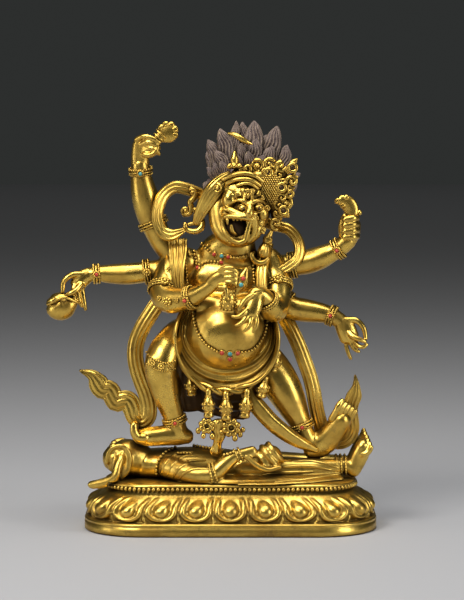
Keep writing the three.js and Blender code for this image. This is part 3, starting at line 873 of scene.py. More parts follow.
BENT_LEG = [
    (-8, 4, 64, 10.6), (-16, 2, 69, 10.2), (-23, -1.4, 70.6, 9.7), (-29, -6.8, 67, 8.9),
    (-33, -11.4, 62, 8.6), (-34.6, -13.4, 55.6, 8.1), (-33.4, -12, 48, 7.5), (-31.6, -10.6, 41, 6.6),
    (-29.4, -9.2, 34, 5.6), (-27.6, -8.2, 28.4, 5.1), (-26.2, -8, 23, 5),
]
STRAIGHT_LEG = [
    (8, 1, 62, 12), (15, 0, 57.6, 11.4), (21, -1, 52, 10.4), (25.4, -2.6, 46, 9.6), (28.8, -4, 40, 8.6),
    (31.8, -4.6, 34, 7.2), (34.5, -5, 28.4, 5.8), (36.6, -5, 23.4, 5.1), (38.5, -5, 19, 5),
]
ARMS = {
    "upper_left": [
        (-17, 2, 103, 8), (-23, 2, 107.4, 7.2), (-29, 2, 112, 6.5), (-33.4, 2, 117, 6.2),
        (-37, 1.8, 123.5, 6.3), (-40.4, 1.5, 132, 6.9), (-42.8, 1, 141, 6.8), (-44.4, 0, 150, 5.4),
        (-44.9, -1, 156, 4.6),
    ],
    "middle_left": [
        (-18, 1, 100, 8), (-30, 1, 103, 6.2), (-38, 1, 103.2, 5.4), (-45, 1, 102.2, 5.4),
        (-52, 1, 101.6, 5.5), (-60, 0.8, 101.6, 4.9), (-67, 0.2, 101.7, 4.0), (-71, 0, 101.2, 3.7, 3.2),
    ],
    "front_left": [
        (-22, -1, 108, 7.4), (-28, -3, 104.4, 7), (-32, -6.4, 98.4, 6.8), (-33.2, -11, 92.6, 7),
        (-30.4, -15.4, 90, 6.8), (-25.2, -19.4, 90.2, 5.9), (-19, -23.2, 92, 4.8),
        (-13, -25.8, 95.6, 3.9), (-8.6, -27.4, 98.8, 3.6, 3.2),
    ],
    "upper_right": [
        (18, 2, 104, 8), (25, 1.8, 105, 6.4), (31, 1.5, 106, 5.7), (38, 0.6, 107.6, 6.2),
        (44, -0.4, 109.6, 6), (50, -1, 112.4, 5.1), (54.6, -1.8, 115, 4.5), (58.4, -2.8, 118.6, 4.6, 4),
    ],
    "middle_right": [
        (18, 4, 94, 8), (24, 2.6, 88.6, 6.8), (31, 1.4, 84.6, 6), (38, 1, 83.2, 5.9), (46, 0, 82, 5),
        (51, -0.8, 80.6, 4.3), (55.5, -2, 77.6, 4, 3.3),
    ],
    "front_right": [
        (19, -1, 108, 7.2), (22.6, -3.6, 102, 6.6), (23.8, -8, 95, 6.3), (23, -12, 88, 6.3),
        (21.6, -16.4, 84.8, 6.4), (19.8, -20, 87, 5.8), (17.6, -23.8, 90.8, 4.8),
        (14.6, -26.2, 93.4, 4.1), (11.6, -28, 93.8, 3.8, 3.3),
    ],
}
BELLY_MIDDLE = (-1.8, 0, 74.4)
BELLY_AXIS = (0, -1, -0.16)
BELLY_PROFILE = [
    (0, 27.4), (4.8, 26.9), (9.4, 25.4), (13.8, 22.6), (17.4, 18.8), (19.6, 14.8), (20.6, 11), (21, 6),
    (20.8, 0), (18, -6), (13, -11), (0, -13),
]


def body_wax():
    form = Wax()
    limb(form, [
        (0, 3, 56, 17, 12), (-0.3, 2, 68, 17.6, 12), (-0.6, 1, 80, 18, 12), (-1, 0, 89, 19, 12.4),
        (-1.5, -1, 97, 20, 12.6), (-1.4, -0.6, 102.6, 19.4, 11.8), (-1, 0, 107, 17.8, 10.4),
        (0, -1.4, 112, 15.6, 9.8), (2, -3.4, 117, 12, 9.4), (5, -4, 124, 7.6, 7.6),
    ], 28, 2)
    for x in (-10.6, 8.6):
        ball(form, (x, -7, 100), (8.2, 4.2, 6.8), fine=20)
        ball(form, (x + 0.6, -14.6, 87.6), (9.4, 6.2, 5.4), (0, -8 * x / 10, 0), fine=20)
    turned(form, BELLY_MIDDLE, BELLY_AXIS, BELLY_PROFILE, 40)
    ball(form, (0, 5, 60), (22, 12, 16), fine=24)
    limb(form, BENT_LEG, 22, 1.8, (0.4, -1, 0.4))
    ball(form, (-37, -16, 58.6), (5.6, 4.8, 6), fine=16)
    ball(form, (-30.4, -6.4, 45), (6.4, 6.4, 10), fine=16)
    limb(form, [
        (-21.4, -8, 20.8, 3.8, 3.2), (-25, -8, 21.4, 5, 4.4), (-30.6, -8.6, 21.6, 5.2, 5),
        (-37, -9.4, 21.3, 5, 5.6), (-42.4, -10, 21, 4.6, 5.8), (-45, -10, 21, 3.8, 5.6),
    ], 18, 1.2)
    limb(form, STRAIGHT_LEG, 22, 1.8)
    limb(form, [
        (40.6, -4.6, 13, 4.8, 4), (44.4, -5, 15.6, 6.2, 4.8), (49.4, -6, 20.2, 6.2, 5),
        (53.2, -7.2, 25.6, 5.8, 5.2), (55.2, -8.3, 29, 5.2, 5.2),
    ], 18, 1.2)
    for rows in ARMS.values():
        limb(form, rows, 18, 1.6)
    return form


def torso_wax():
    """Chest and belly alone, for what hangs on them behind the arms."""
    form = Wax()
    limb(form, [
        (-0.3, 2, 68, 17.6, 12), (-0.6, 1, 80, 18, 12), (-1.5, -1, 97, 20, 12.6), (-1, 0, 107, 17.2, 10),
        (3, -2, 115.6, 8.8, 8), (5, -4, 124, 7, 7),
    ], 28, 2)
    for x in (-10.6, 8.6):
        ball(form, (x + 0.6, -14.6, 87.6), (9.4, 6.2, 5.4), (0, -8 * x / 10, 0), fine=20)
    turned(form, BELLY_MIDDLE, BELLY_AXIS, BELLY_PROFILE, 40)
    return form.whole()


body_skin = fused(body_wax(), voxel=0.72, rubs=8)
body_tree = BVHTree.FromBMesh(body_skin)
torso_tree = BVHTree.FromBMesh(torso_wax())


def upper_left_hand(form):
    """Grips the hide's leg."""
    limb(form, [
        (-44.9, -1, 155.6, 4.7, 3.8), (-44.8, -2, 161, 4.6, 3.2), (-44.4, -3, 166.4, 4.3, 2.8),
    ], 16, 1)
    digits(form, [
        ((-46.4, -4.4, 168.8), (-42.6, -4.8, 163.6)),
        ((-42.8, -6.6, 170.4), (-39.6, -6.8, 164.6)),
        ((-38.2, -7.4, 169.2), (-36.6, -7.4, 163.4)),
        ((-35.2, -6.8, 167.4), (-35.4, -6.6, 161.8)),
    ], 1.5, 3)
    ball(form, (-39.4, -4.4, 164.6), (4.8, 3, 4.4), fine=18)
    limb(form, [
        (-42.6, -6, 161.4, 1.5), (-39.6, -7.2, 161.2, 1.5), (-37.2, -7.6, 162.8, 1.3),
        (-36, -7.6, 165, 1),
    ], 10, 0.8)


def middle_left_hand(form):
    """Holds the skull cup between finger and thumb."""
    limb(form, [
        (-70.4, 0, 101.4, 3.8, 3.2), (-74.4, -1.2, 99, 4.4, 2.8), (-76.4, -1.8, 96, 4, 2.4),
    ], 14, 1)
    limb(form, [
        (-74, -2, 101.6, 1.7), (-79, -3.4, 101.4, 1.6), (-83, -4.4, 98.2, 1.4), (-83.6, -5.2, 93.4, 1.15),
    ], 10, 0.8)
    limb(form, [
        (-74.6, -3.6, 96.4, 1.7), (-76.8, -6, 94, 1.5), (-79.4, -7, 92.6, 1.35), (-81.4, -6.8, 91.6, 1.1),
    ], 10, 0.8)
    digits(form, [
        ((-77.6, -2.4, 97.4), (-74.2, -1.4, 97)),
        ((-78.4, -4.4, 92.4), (-73.6, -2, 91.6)),
        ((-77.4, -5.4, 89), (-72.8, -2.6, 87)),
        ((-76.2, -4.4, 87.8), (-72.4, -2.6, 84.2)),
    ], 1.35, 3)


def front_left_hand(form):
    """Holds the chopper's handle."""
    limb(form, [
        (-9.6, -27.2, 98.6, 3.7, 3.1), (-6.6, -28.4, 101, 4, 2.6), (-3.6, -29.4, 102.6, 3.7, 2.2),
    ], 14, 1)
    digits(form, [
        ((-5.4, -30, 105.6), (-4.4, -29.6, 99.4)),
        ((-1.8, -31.6, 107.2), (-1, -31.4, 100.2)),
        ((1.6, -32, 106.6), (2, -31.8, 99.6)),
        ((3.6, -31.2, 104.4), (3.4, -30.8, 97.8)),
    ], 1.15)
    limb(form, [
        (-5.2, -30.4, 98, 1.4), (-2.6, -32.4, 97.6, 1.3), (-1.8, -33, 94.6, 1.1),
        (-2.4, -32.8, 91.4, 0.9),
    ], 10, 0.8)


def upper_right_hand(form):
    """A fist round the hide's other leg."""
    limb(form, [
        (57.6, -2.6, 117.4, 4.4, 3.8), (59.6, -3.2, 122, 4.9, 3.4), (60.4, -3.4, 127, 4.6, 3),
    ], 14, 1)
    ball(form, (60, -5, 125), (4.6, 3.4, 6.4), fine=18)
    digits(form, [
        ((59.6, -1.6, 129.6), (59.8, -1.6, 120.6)),
        ((62.4, -4.4, 130), (62.6, -4.6, 120.8)),
        ((61.2, -8.2, 130), (61, -8.6, 120.8)),
        ((57, -9, 129.4), (56.8, -9.2, 120.6)),
    ], 2, 4, 0.88)
    limb(form, [
        (56.4, -3.4, 119.4, 2), (55.2, -5.4, 123.6, 1.8), (55.4, -7, 128, 1.6), (56.4, -7.4, 131.2, 1.2),
    ], 10, 0.8)


def middle_right_hand(form):
    """Hangs open, with index finger and thumb curled."""
    limb(form, [(55, -1.8, 78, 4, 3.3), (57.4, -2.8, 74.6, 5, 3), (59.4, -3.4, 69.8, 5, 2.6)], 16, 1)
    limb(form, [
        (58, -3, 79, 1.7), (62.8, -3.8, 78.6, 1.6), (66.4, -4.8, 74.8, 1.4), (67.4, -5.6, 69.8, 1.1),
    ], 10, 0.8)
    limb(form, [
        (58.6, -4.6, 73, 1.6), (61.4, -6.8, 70.6, 1.45), (64.6, -7.4, 69.4, 1.25), (67, -7, 68.4, 1),
    ], 10, 0.8)
    digits(form, [
        ((61.6, -3.6, 70), (57.6, -2.2, 71)),
        ((63.4, -5.4, 66.4), (57.8, -2.4, 66)),
        ((66, -6.4, 65.6), (58.8, -3, 62.4)),
        ((68, -5.8, 66.8), (60, -3.2, 59.6)),
    ], 1.3, 3)


def front_right_hand(form):
    """Over the bowl, with its fingers bent down."""
    limb(form, [
        (14.6, -26.6, 93.8, 4.2, 3.4), (12.6, -29, 92, 4.4, 3), (11.2, -31, 88, 4.2, 2.5),
        (10.2, -32, 84.8, 3.6, 2),
    ], 16, 0.9)
    limb(form, [
        (10.4, -30.6, 93.4, 1.6), (7.6, -32, 91.8, 1.5), (5.4, -33, 89, 1.3), (4.2, -33.4, 86.8, 1),
    ], 10, 0.8)
    limb(form, [
        (8.4, -32, 87, 1.4), (5.8, -33.6, 84.6, 1.35), (2.8, -34, 83.2, 1.1), (1, -34, 83.6, 0.8),
    ], 10, 0.8)
    limb(form, [
        (8.8, -32.4, 84.6, 1.4), (6.4, -33.8, 81.4, 1.3), (4, -34.2, 79.6, 1.1), (2.6, -34.2, 79.2, 0.8),
    ], 10, 0.8)
    limb(form, [
        (10.2, -32.4, 83, 1.4), (9.4, -33.6, 79.6, 1.25), (7.6, -34, 77, 1.05), (6.4, -34, 76.2, 0.8),
    ], 10, 0.8)
    limb(form, [
        (12.6, -31.6, 84, 1.4), (13, -33, 80.6, 1.25), (12, -33.6, 77.6, 1.05), (11, -33.6, 76, 0.8),
    ], 10, 0.8)


def toes(form):
    """Toes of the bent leg and of the stretched one."""
    digits(form, [
        ((-42.6, -13.6, 21), (-43, -5.8, 21.2)),
        ((-45.8, -14.4, 21.2), (-46.2, -5.4, 21.4)),
        ((-47.6, -14.8, 23.8), (-47.8, -5.4, 24)),
        ((-48, -14.8, 27.4), (-47.6, -5.6, 26.8)),
    ], 2.8, 4, 0.7)
    digits(form, [
        ((50.4, -10.6, 30), (57, -4.4, 25.6)),
        ((52.6, -12, 34.2), (59.4, -6, 28.8)),
        ((54, -12.4, 37.4), (61, -6.4, 31.6)),
        ((55.6, -11.2, 39.2), (62.4, -6, 33.4)),
    ], 1.9, 5, 0.75)


hands_skin = fused(together(
    upper_left_hand, middle_left_hand, front_left_hand, upper_right_hand, middle_right_hand,
    front_right_hand, toes,
), voxel=0.36, rubs=4)


# Head

def skull_and_jowls(form):
    """The skull, and heavy jowls that run from the temples round under the mouth."""
    ball(form, (7.2, -4, 135), (13, 11.6, 15), fine=28)
    ball(form, (5.6, -9.4, 142.4), (10.4, 7.4, 8.2), (0, 14, 0), fine=26)
    limb(form, [(4, -6, 118, 6.4), (5, -4, 112, 7.4)], 18, 1.4)
    limb(form, [
        (-1.6, -4, 149, 2.4, 2), (-4.4, -5.6, 143.6, 4.4, 3.8), (-5.6, -6.8, 137, 5.2, 4.8),
        (-5.8, -8.2, 131, 5.2, 5), (-4.6, -9.8, 125.4, 5, 5), (-1.8, -11.6, 121.4, 4.4, 4.8),
        (2.8, -12.8, 119.4, 3.8, 4.6), (7.6, -12.6, 120.2, 3.8, 4.6), (11.4, -11.8, 123.6, 4.2, 4.6),
        (13.8, -11, 128.4, 4, 4.4), (15.8, -10, 136, 3.4, 4),
    ], 24, 1)
    ball(form, (2.6, -15, 118.6), (4.6, 4, 2.4), fine=20)


def lips(form):
    """Lips round the open mouth, with the folds beside them."""
    limb(form, [
        (-3.8, -16.8, 130.9, 1.1), (-2.4, -18.2, 131.3, 1.3), (0.6, -19.6, 131.5, 1.4),
        (4, -20.6, 131.3, 1.5), (8, -20.8, 130.8, 1.5), (10.4, -19.8, 130, 1.2),
    ], 12, 0.8)
    limb(form, [
        (-3.8, -16.6, 130.4, 1.1), (-3.8, -17.2, 126.6, 1.2), (-2.2, -18.4, 123, 1.3),
        (0.6, -19.4, 119.9, 1.3), (4, -19.8, 118.4, 1.4), (6.8, -19.6, 119.6, 1.3),
        (8.2, -19.4, 123.4, 1.4), (9.2, -19.4, 127.4, 1.3), (10.2, -19.4, 130, 1.2),
    ], 12, 0.8)
    limb(form, [
        (-2.8, -16.4, 135, 1.2), (-0.8, -17.4, 134.7, 1.5), (1.6, -18.6, 133.8, 1.6),
        (4, -19.8, 132.7, 1.5), (7, -20.6, 131.9, 1.2),
    ], 12, 0.8)
    limb(form, [
        (11.6, -18.8, 131.4, 1.6), (12, -17.6, 127.4, 1.9), (11.2, -17.2, 122.8, 1.7),
        (8.8, -17.2, 119.4, 1.4),
    ], 12, 0.8)


def cheeks_and_nose(form):
    ball(form, (-1.4, -13.2, 133.4), (3.4, 4, 3.4), fine=18)
    ball(form, (-0.6, -13.2, 139.4), (3.8, 3.8, 5), fine=18)
    ball(form, (15.8, -13, 132.4), (3.1, 3.5, 4), fine=18)
    limb(form, [
        (9.1, -16.4, 138.6, 1.3), (9.3, -18.4, 136.6, 1.8), (9.4, -20, 134.4, 2.3),
        (9.2, -20.8, 132.9, 2.3),
    ], 14, 0.8)
    for x, y, z, size in (
        (4, -16.6, 142.8, 1.3), (6.4, -17, 144, 1.2), (8.8, -17.2, 144.4, 1.2), (11.2, -16.8, 143.8, 1.3),
        (13.6, -15.8, 142.4, 1.4), (1.4, -15.6, 141.6, 1.3), (15.8, -14.6, 140.8, 1.3),
    ):
        scroll(form, (x, y, z), size, 1.1, 0.55, 60 * x, (0, -1, 0.2), 0.3)
    ball(form, (6.9, -20, 132.6), (1.8, 1.7, 1.5))
    ball(form, (11.8, -19.2, 132.8), (1.7, 1.7, 1.4))


def brows_and_lids(form):
    """Brows, the knot between them, and the lids of the sockets."""
    for brow in (
        [(8, -18.2, 137.8), (6.2, -18.6, 139), (3.4, -17.8, 139.4), (1.2, -16.2, 138.2)],
        [(10.6, -18, 137.8), (12.8, -17.6, 139), (15.2, -16, 139), (17, -13.8, 137.4)],
    ):
        limb(form, [(*at, 1.15 - 0.14 * i) for i, at in enumerate(brow)], 10, 0.8)
    for lean in (-1, 1):
        limb(form, [
            (8.9 + lean * 1.3, -18, 138.4, 0.8), (8.7 + lean * 2, -17.6, 140.8, 0.9),
            (8.5 + lean * 1.1, -17, 143.2, 0.7), (8.4 + lean * 2.2, -16.4, 144.8, 0.5),
        ], 8, 0.7)
    for x, y, z, width in ((6.1, -17, 135.2, 2.9), (13.7, -16, 135.4, 2.6)):
        for drop in (1.7, -1.8):
            arch = [(x - width, y + 0.8, z), (x - width * 0.5, y - 0.5, z + drop),
                    (x + width * 0.5, y - 0.5, z + drop), (x + width, y + 0.8, z)]
            limb(form, [(*at, 0.62) for at in arch], 8, 0.7)


head_skin = fused(together(skull_and_jowls, lips, cheeks_and_nose, brows_and_lids), voxel=0.34, rubs=3)


def face_details():
    """Eyeballs, teeth, fangs and tongue."""
    form = Wax()
    for x, y, z, size in ((6.1, -17.1, 135.4, 2.6), (13.7, -16, 135.6, 2.4)):
        ball(form, (x, y, z), (size, size * 0.95, size * 0.84), fine=20)
    ball(form, (8.6, -17.6, 141.4), (0.9, 0.8, 1.6), (0, 14, 0))
    for x in (-1.6, 8.2):
        turned(form, (x, -19.2, 130.4), (0.05, -0.1, -1), [
            (0, -0.4), (0.85, 0), (0.75, 1.2), (0.4, 2.6), (0, 3.4),
        ], 10)
    for i in range(3):
        ball(form, (1.6 + 1.8 * i, -19.8, 130), (0.7, 0.6, 0.8), fine=8)
    limb(form, [
        (2.6, -13, 120.6, 2.2, 1.4), (2, -16, 122, 2.1, 1.1), (0.6, -18.2, 124.6, 1.3, 0.8),
        (0.4, -18.4, 127, 0.8, 0.6),
    ], 12, 0.8, (0, 0, 1))
    return form


CROWN_HOLES = [(30.6, 155.2), (18.4, 152.6), (25.2, 145.4), (26.2, 134)]


def mouth_lining():
    """Near black painted shade inside the open mouth and in the middles of the crown's rings, and the
    dark pupils.
    """
    form = Wax()
    # Painted shade: a near black lump inside the open mouth.
    ball(form, (2.8, -13.6, 125), (6.8, 3.4, 7), fine=20)
    for x, y, z in ((6.6, -19.4, 135), (14.2, -18.1, 135.2)):
        ball(form, (x, y, z), (0.8, 0.45, 0.8), fine=12)
    # Painted shade: near black discs in the middles of the crown's rings.
    for x, z in CROWN_HOLES:
        ball(form, (x, -12.9, z), (1.5, 0.8, 1.5), fine=12)
    return form


# Hair

# Tongues of hair: x and z at the root, x and z at the tip, half width and depth
TONGUES = [
    (-4, 147, -12.6, 155.2, 1.9, 1), (-3, 149, -11, 168.8, 3.6, 3.6), (0.6, 150, -4.8, 174.4, 4, 1),
    (3.2, 152, 2, 178.2, 2.7, 3), (7.4, 152, 6.8, 177.6, 3.4, 6.4), (12.8, 152, 11.4, 178.2, 4.9, 3),
    (18.6, 151, 23, 175.6, 4.3, 2.4), (23, 150, 29.2, 166.2, 3.2, 1.6), (25.4, 145, 34, 152.2, 2.2, 0.5),
    (6, 150, 5.6, 167.2, 2.8, -2.4), (11, 151, 13, 169.4, 3.9, -2.2), (18, 150, 20, 166, 3.4, -2.8),
    (-1.6, 148.6, -6.4, 163.6, 3.4, -2.2), (-2, 146.6, -9, 157.4, 2.8, -2.6),
    (2, 148, 0.4, 164.6, 2.9, -1.2), (-5, 146, -11, 163, 3.8, 9), (1, 148, -2.4, 170.4, 4.4, 9.6),
    (8, 148, 8.6, 173, 4.8, 10.6), (15.4, 148, 17.6, 171, 4.6, 9.6), (22, 146, 27, 163, 4, 8.6),
    (26.4, 140, 31.6, 149, 3.4, 7.4), (-7, 140, -12, 149, 3.4, 7), (4.4, 148, 3.6, 161.6, 2.7, -5),
    (9.4, 149, 9.2, 163.4, 3.1, -5), (14, 149, 15.6, 161.6, 3, -5), (-3.4, 146, -3.6, 158.6, 2.7, -4.6),
]


def flaming_hair():
    form = Wax()
    outline = ((0, 0.7), (0.25, 0.92), (0.5, 1), (0.7, 0.92), (0.84, 0.7), (0.93, 0.42), (1, 0.1))
    for i, (root_x, root_z, tip_x, tip_z, width, back) in enumerate(TONGUES):
        sway = 0.9 * math.sin(2.4 * i + 1)
        stations = []
        for share, swell in outline:
            stations.append((
                root_x + (tip_x - root_x) * share ** 1.2 + sway * math.sin(2.6 * math.pi * share),
                2 + back * (0.55 + 0.45 * share), root_z + (tip_z - 0.4 - root_z) * share,
                0.9 * width * swell, 0.76 * width * swell,
            ))
        limb(form, stations, 60, 0.66, section=fluted(13, 0.19, 0, 1.9), dome=0.4)
    ball(form, (8.6, 4, 146.6), (15, 10.4, 12.6), fine=32)
    return form


# Scarf

def tapered(places, width, thick, tail):
    """Rows of one width that narrow to a share of it at the last."""
    last = len(places) - 1
    return [(*at, width * (1 if i < last - 1 else (1 + tail) / 2 if i < last else tail), thick)
            for i, at in enumerate(places)]


def scarf():
    form = Wax()
    look = {"segments": 40, "spacing": 1.0}
    limb(form, tapered([
        (-4, 5, 136), (-12, 1, 140), (-17.5, -0.6, 142.6), (-22.7, -2, 144.4), (-27, -3, 145.2),
        (-30.6, -4, 143.8), (-33.6, -5, 140.6), (-35.4, -6, 136.4), (-36.4, -7, 131),
        (-35.4, -7.6, 126.6), (-33.4, -8.4, 123), (-29.8, -9, 121.6), (-26.4, -9, 122.6),
        (-23.6, -8.6, 123.8),
    ], 3.1, 1.3, 0.5), section=ribbon(3, 0.3), **look)
    fall = tapered([
        (-27, 1, 98), (-31, 0.6, 93.4), (-35, 0, 88.6), (-40, -1, 81.6), (-44.5, -2, 74),
        (-47, -2.6, 67.6), (-47.6, -3, 61), (-46.6, -3, 54.4), (-44.4, -3, 47.6), (-42, -3, 41.2),
        (-40.8, -3, 35), (-41.4, -3, 30), (-44.6, -3, 27.2), (-47.8, -3, 29.4), (-49.2, -3, 34.5),
        (-51.4, -3, 38.4), (-54.4, -3, 38.4), (-57, -3, 37.6), (-58.8, -3, 40.4), (-60.6, -3, 43.6),
        (-64, -3, 44), (-66.4, -3, 47.6), (-68.6, -3, 50.6), (-75, -3, 53.4),
    ], 4.1, 1.3, 0.16)
    fall = [(x, y, z, width + 0.9 * (-69 < x < -48 and z < 55), thick) for x, y, z, width, thick in fall]
    limb(form, fall, section=ribbon(4, 0.34), **look)
    limb(form, tapered([
        (12, 4, 130), (16.6, 3, 128), (21, 2, 126), (25, 1, 125.2), (28.8, 0, 124), (32, -1, 121),
        (33.8, -2, 117.6), (34.4, -3.6, 113.5), (33, -5.4, 109.6), (29.5, -7, 106.6), (25.4, -7.6, 104.2),
        (21, -8, 102),
    ], 2.8, 1.3, 0.8), section=ribbon(3, 0.3), **look)
    limb(form, tapered([
        (24, 4, 84), (28, 2.4, 78), (31.4, 1, 71.6), (34.4, 0.4, 65), (37, 0, 58), (39.6, 0.6, 50.6),
        (41.5, 1, 43), (42.8, 2, 35.4), (44.5, 3, 28), (46.4, 3.6, 22.6), (49.4, 4, 18.8),
        (53, 3.8, 16.6), (56.6, 3, 17), (59.6, 2, 19.4), (60.9, 1, 23.4), (60.6, 0, 28), (60, -1, 33),
        (60.6, -1.6, 37), (62, -2, 41), (62.8, -2, 45), (62.4, -2, 50.8),
    ], 3.8, 1.3, 0.14), section=ribbon(4, 0.34), **look)
    for shift, width in ((0, 2), (3.6, 1.7), (-3.4, 1.6)):
        limb(form, tapered([
            (-26.4 + 0.9 * shift, -4, 118.6), (-26.2 + 0.8 * shift, -9, 113.4),
            (-26.4 + 0.6 * shift, -11.8, 107.4), (-26 + 0.4 * shift, -13.6, 99.6),
            (-25 + 0.2 * shift, -14.8, 91),
        ], width, 1.3, 0.7), section=ribbon(2, 0.24), **look)
    limb(form, tapered([
        (18.6, -3, 117), (17, -8.6, 111.6), (15.6, -12.2, 105), (15.4, -14.8, 98), (16.4, -16.4, 91),
    ], 2.9, 1.2, 0.9), section=ribbon(3, 0.22), **look)
    return form


# Skirt: folds round the belly, a twisted roll, a sash, pendants and blossoms

BELLY_EDGE = (-1.4, 74.2, 20.2)
ROLL_EDGE = (-2, 71, 25.4)
WRAP_FOLDS = 3.4


def wrap_point(turn, share):
    """A place on the cloth wrapped under the belly, from the belly at share 0 to the roll at 1."""
    inner, outer = BELLY_EDGE, ROLL_EDGE
    x, z, radius = (a + (b - a) * share for a, b in zip(inner, outer))
    rise = np.clip(np.sin(turn), 0, None)
    low = np.clip(-np.sin(turn), 0, None)
    y = -(12.2 + 6.4 * low ** 1.5) * (1 - share) - (14 + 1.6 * low) * share + 12 * rise ** 1.4
    height = 1 + 0.12 * rise - 0.27 * (1 - share) * (low > 0)
    return x + radius * np.cos(turn), y, z + radius * np.sin(turn) * height


def wrap(form):
    """The wrapped cloth, with folds that run round the belly."""
    rows, collar, hem = 76, 3, 9

    def rule(turn, row):
        turn = -turn  # so that the faces look outwards
        share = np.clip((row - collar) / (rows - collar - hem), 0, 1)
        rolled_in = np.clip((collar - row) / collar, 0, 1)
        x, y, z = wrap_point(turn, share)
        fold = np.sin(math.tau * WRAP_FOLDS * share - 0.6) + 0.35 * np.sin(5 * turn + 9 * share)
        y = y - 0.62 * fold * np.clip(5 * share, 0, 1) * (0.6 + 0.4 * share)
        tuck = np.clip((row - (rows - hem)) / (hem - 1), 0, 1)
        y = y + 11 * tuck + 10 * rolled_in
        inwards = np.where(row == rows - 1, 1, rolled_in + 0.6 * tuck ** 2)
        x = x + (BELLY_EDGE[0] - x) * inwards
        z = z + (BELLY_EDGE[1] - z) * inwards
        return np.column_stack([x, y, z])

    bend(form, 120, rows, rule)


def skirt():
    form = Wax()
    wrap(form)
    turns = np.radians(np.linspace(152, 388, 110))
    path = np.column_stack(wrap_point(turns, 1.04 + 0 * turns)) + np.array((0, -1.4, -0.4))
    along, across, out = axes_along(path, np.array((0, -1, 0.3)))
    near = np.exp(-((np.degrees(turns) - 268) / 36) ** 4)
    turning = 1.2 + np.cumsum(near) * 0.34
    fat = 0.8 + 0.5 * near
    for strand in range(2):
        turn = turning + strand * math.pi
        way = across * np.cos(turn)[:, None] + out * np.sin(turn)[:, None]
        line = path + way * (fat * 0.9)[:, None]
        limb(form, np.column_stack([line, fat * 1.02]), 12, 0.8)
    limb(form, [
        (8, -12.6, 46.6, 3.4, 2.6), (9.6, -13.4, 42, 3.8, 2.7), (12.4, -13.8, 38, 4, 2.8),
        (15.8, -14, 34, 4.1, 2.8), (19.8, -14.2, 29.6, 4, 2.6), (24.6, -14, 25.4, 3.9, 2.4),
        (29.6, -13.4, 21.6, 3.5, 2.2), (34.6, -12.6, 18.6, 3, 2), (42.5, -9, 14.4, 1.6, 1.6),
    ], 36, 1, section=fluted(6, 0.05))
    limb(form, [
        (-5.8, -17, 29, 3.6, 2.2), (-5.6, -16.2, 25.4, 3.4, 2.2), (-5.8, -15.6, 22, 3, 2.3),
        (-6.4, -14.6, 18, 2, 1.9), (-7.2, -13.6, 14.2, 3, 2.4),
    ], 36, 0.8, section=fluted(7, 0.13, 4))
    return form


def skirt_lining():
    """The skirt's inside and back fall, seen between the legs, near black all over: painted shade for the
    shade that falls there.
    """
    form = Wax()
    limb(form, [
        (0, 2, 52, 18, 13), (0, 2, 46.4, 17.6, 13), (-1, 4, 41, 14, 9),
    ], 40, 1.2, section=fluted(13, 0.04))
    limb(form, [
        (-2, 9, 50, 19, 4), (-4, 10, 40, 16, 3), (-6, 10, 30.5, 13.6, 2),
    ], 60, 1.2, section=fluted(14, 0.08))
    limb(form, [
        (-19, 8, 60, 8, 4), (-20, 9, 50, 8.4, 4), (-19.6, 10, 40, 8, 3), (-18.6, 10, 33, 7, 2),
    ], 40, 1.2, section=fluted(9, 0.08))
    return form


PENDANTS = [
    (-20.5, -10.4, 53, 11.5, 0.12), (-11, -18.2, 46, 14.4, 0.02), (-2.2, -19.8, 45, 14.6, 0),
    (8.4, -18.8, 46, 14.6, -0.1), (17.6, -15.8, 52, 11, -0.25), (24, -9.6, 64, 11, -0.3),
]


PENDANT_PROFILE = [
    (0, -0.6), (1.3, 0), (1.45, 1.6), (1.3, 3.2), (1.7, 4.4), (2.5, 5.8), (2.9, 7.6), (2.85, 9.4),
    (2.3, 10.8), (2, 11.6), (2.4, 12.6), (2.5, 13.6), (1.9, 14.2), (0, 14.4),
]
BLOSSOMS = [(-11.8, -17.6, 27.6, 4.3), (0.4, -18.4, 26.8, 5)]
BUDS = [
    (-16, -17, 25, 1.4), (-13.4, -17.6, 22.6, 1.3), (-9, -17.8, 22.4, 1.5), (-4.4, -18, 24.4, 1.3),
    (2.2, -18.4, 21.6, 1.5), (4.8, -18, 23.4, 1.4), (6.2, -17.6, 25.6, 1.2),
]


def pendants(form):
    """Fluted drops under the roll, each with beads round its belly and two hoops."""
    for x, y, z, length, lean in PENDANTS:
        grow = length / PENDANT_PROFILE[-1][1]
        axis = Vector((lean, 0, -1)).normalized()
        profile = [(r, h * grow) for r, h in PENDANT_PROFILE]
        turned(form, (x, y, z), axis, profile, 24, fluted(8, 0.05))
        for i in range(8):
            turn = math.tau * i / 8
            way = Vector((math.cos(turn), math.sin(turn), 0))
            at = Vector((x, y, z)) + axis * 7.6 * grow + way * 2.75
            bead(form, at, 0.8)
            bead(form, at + axis * 2 * grow, 0.6)
        hoop(form, Vector((x, y, z)) + axis * 3.4 * grow, axis, (1.45, 1.45), 0.45, 16, 6)
        hoop(form, Vector((x, y, z)) + axis * 11.4 * grow, axis, (2.2, 2.2), 0.45, 16, 6)


def blossoms(form):
    """Two open blossoms with eight petals, and the buds round them."""
    for x, y, z, size in BLOSSOMS:
        ball(form, (x, y + 1.4, z), (size * 0.8, 1.8, size * 0.8), fine=16)
        for i in range(8):
            turn = math.tau * (i + 0.5) / 8
            at = (x + math.cos(turn) * size * 0.66, y - 0.2, z + math.sin(turn) * size * 0.66)
            ball(form, at, (size * 0.34, 1.4, size * 0.34), fine=12)
        eyelet(form, (x, y - 1.5, z), size * 0.36, 0.55)
    for x, y, z, size in BUDS:
        ball(form, (x, y, z), (size, size, size * 1.2), fine=10)


# What the hands hold

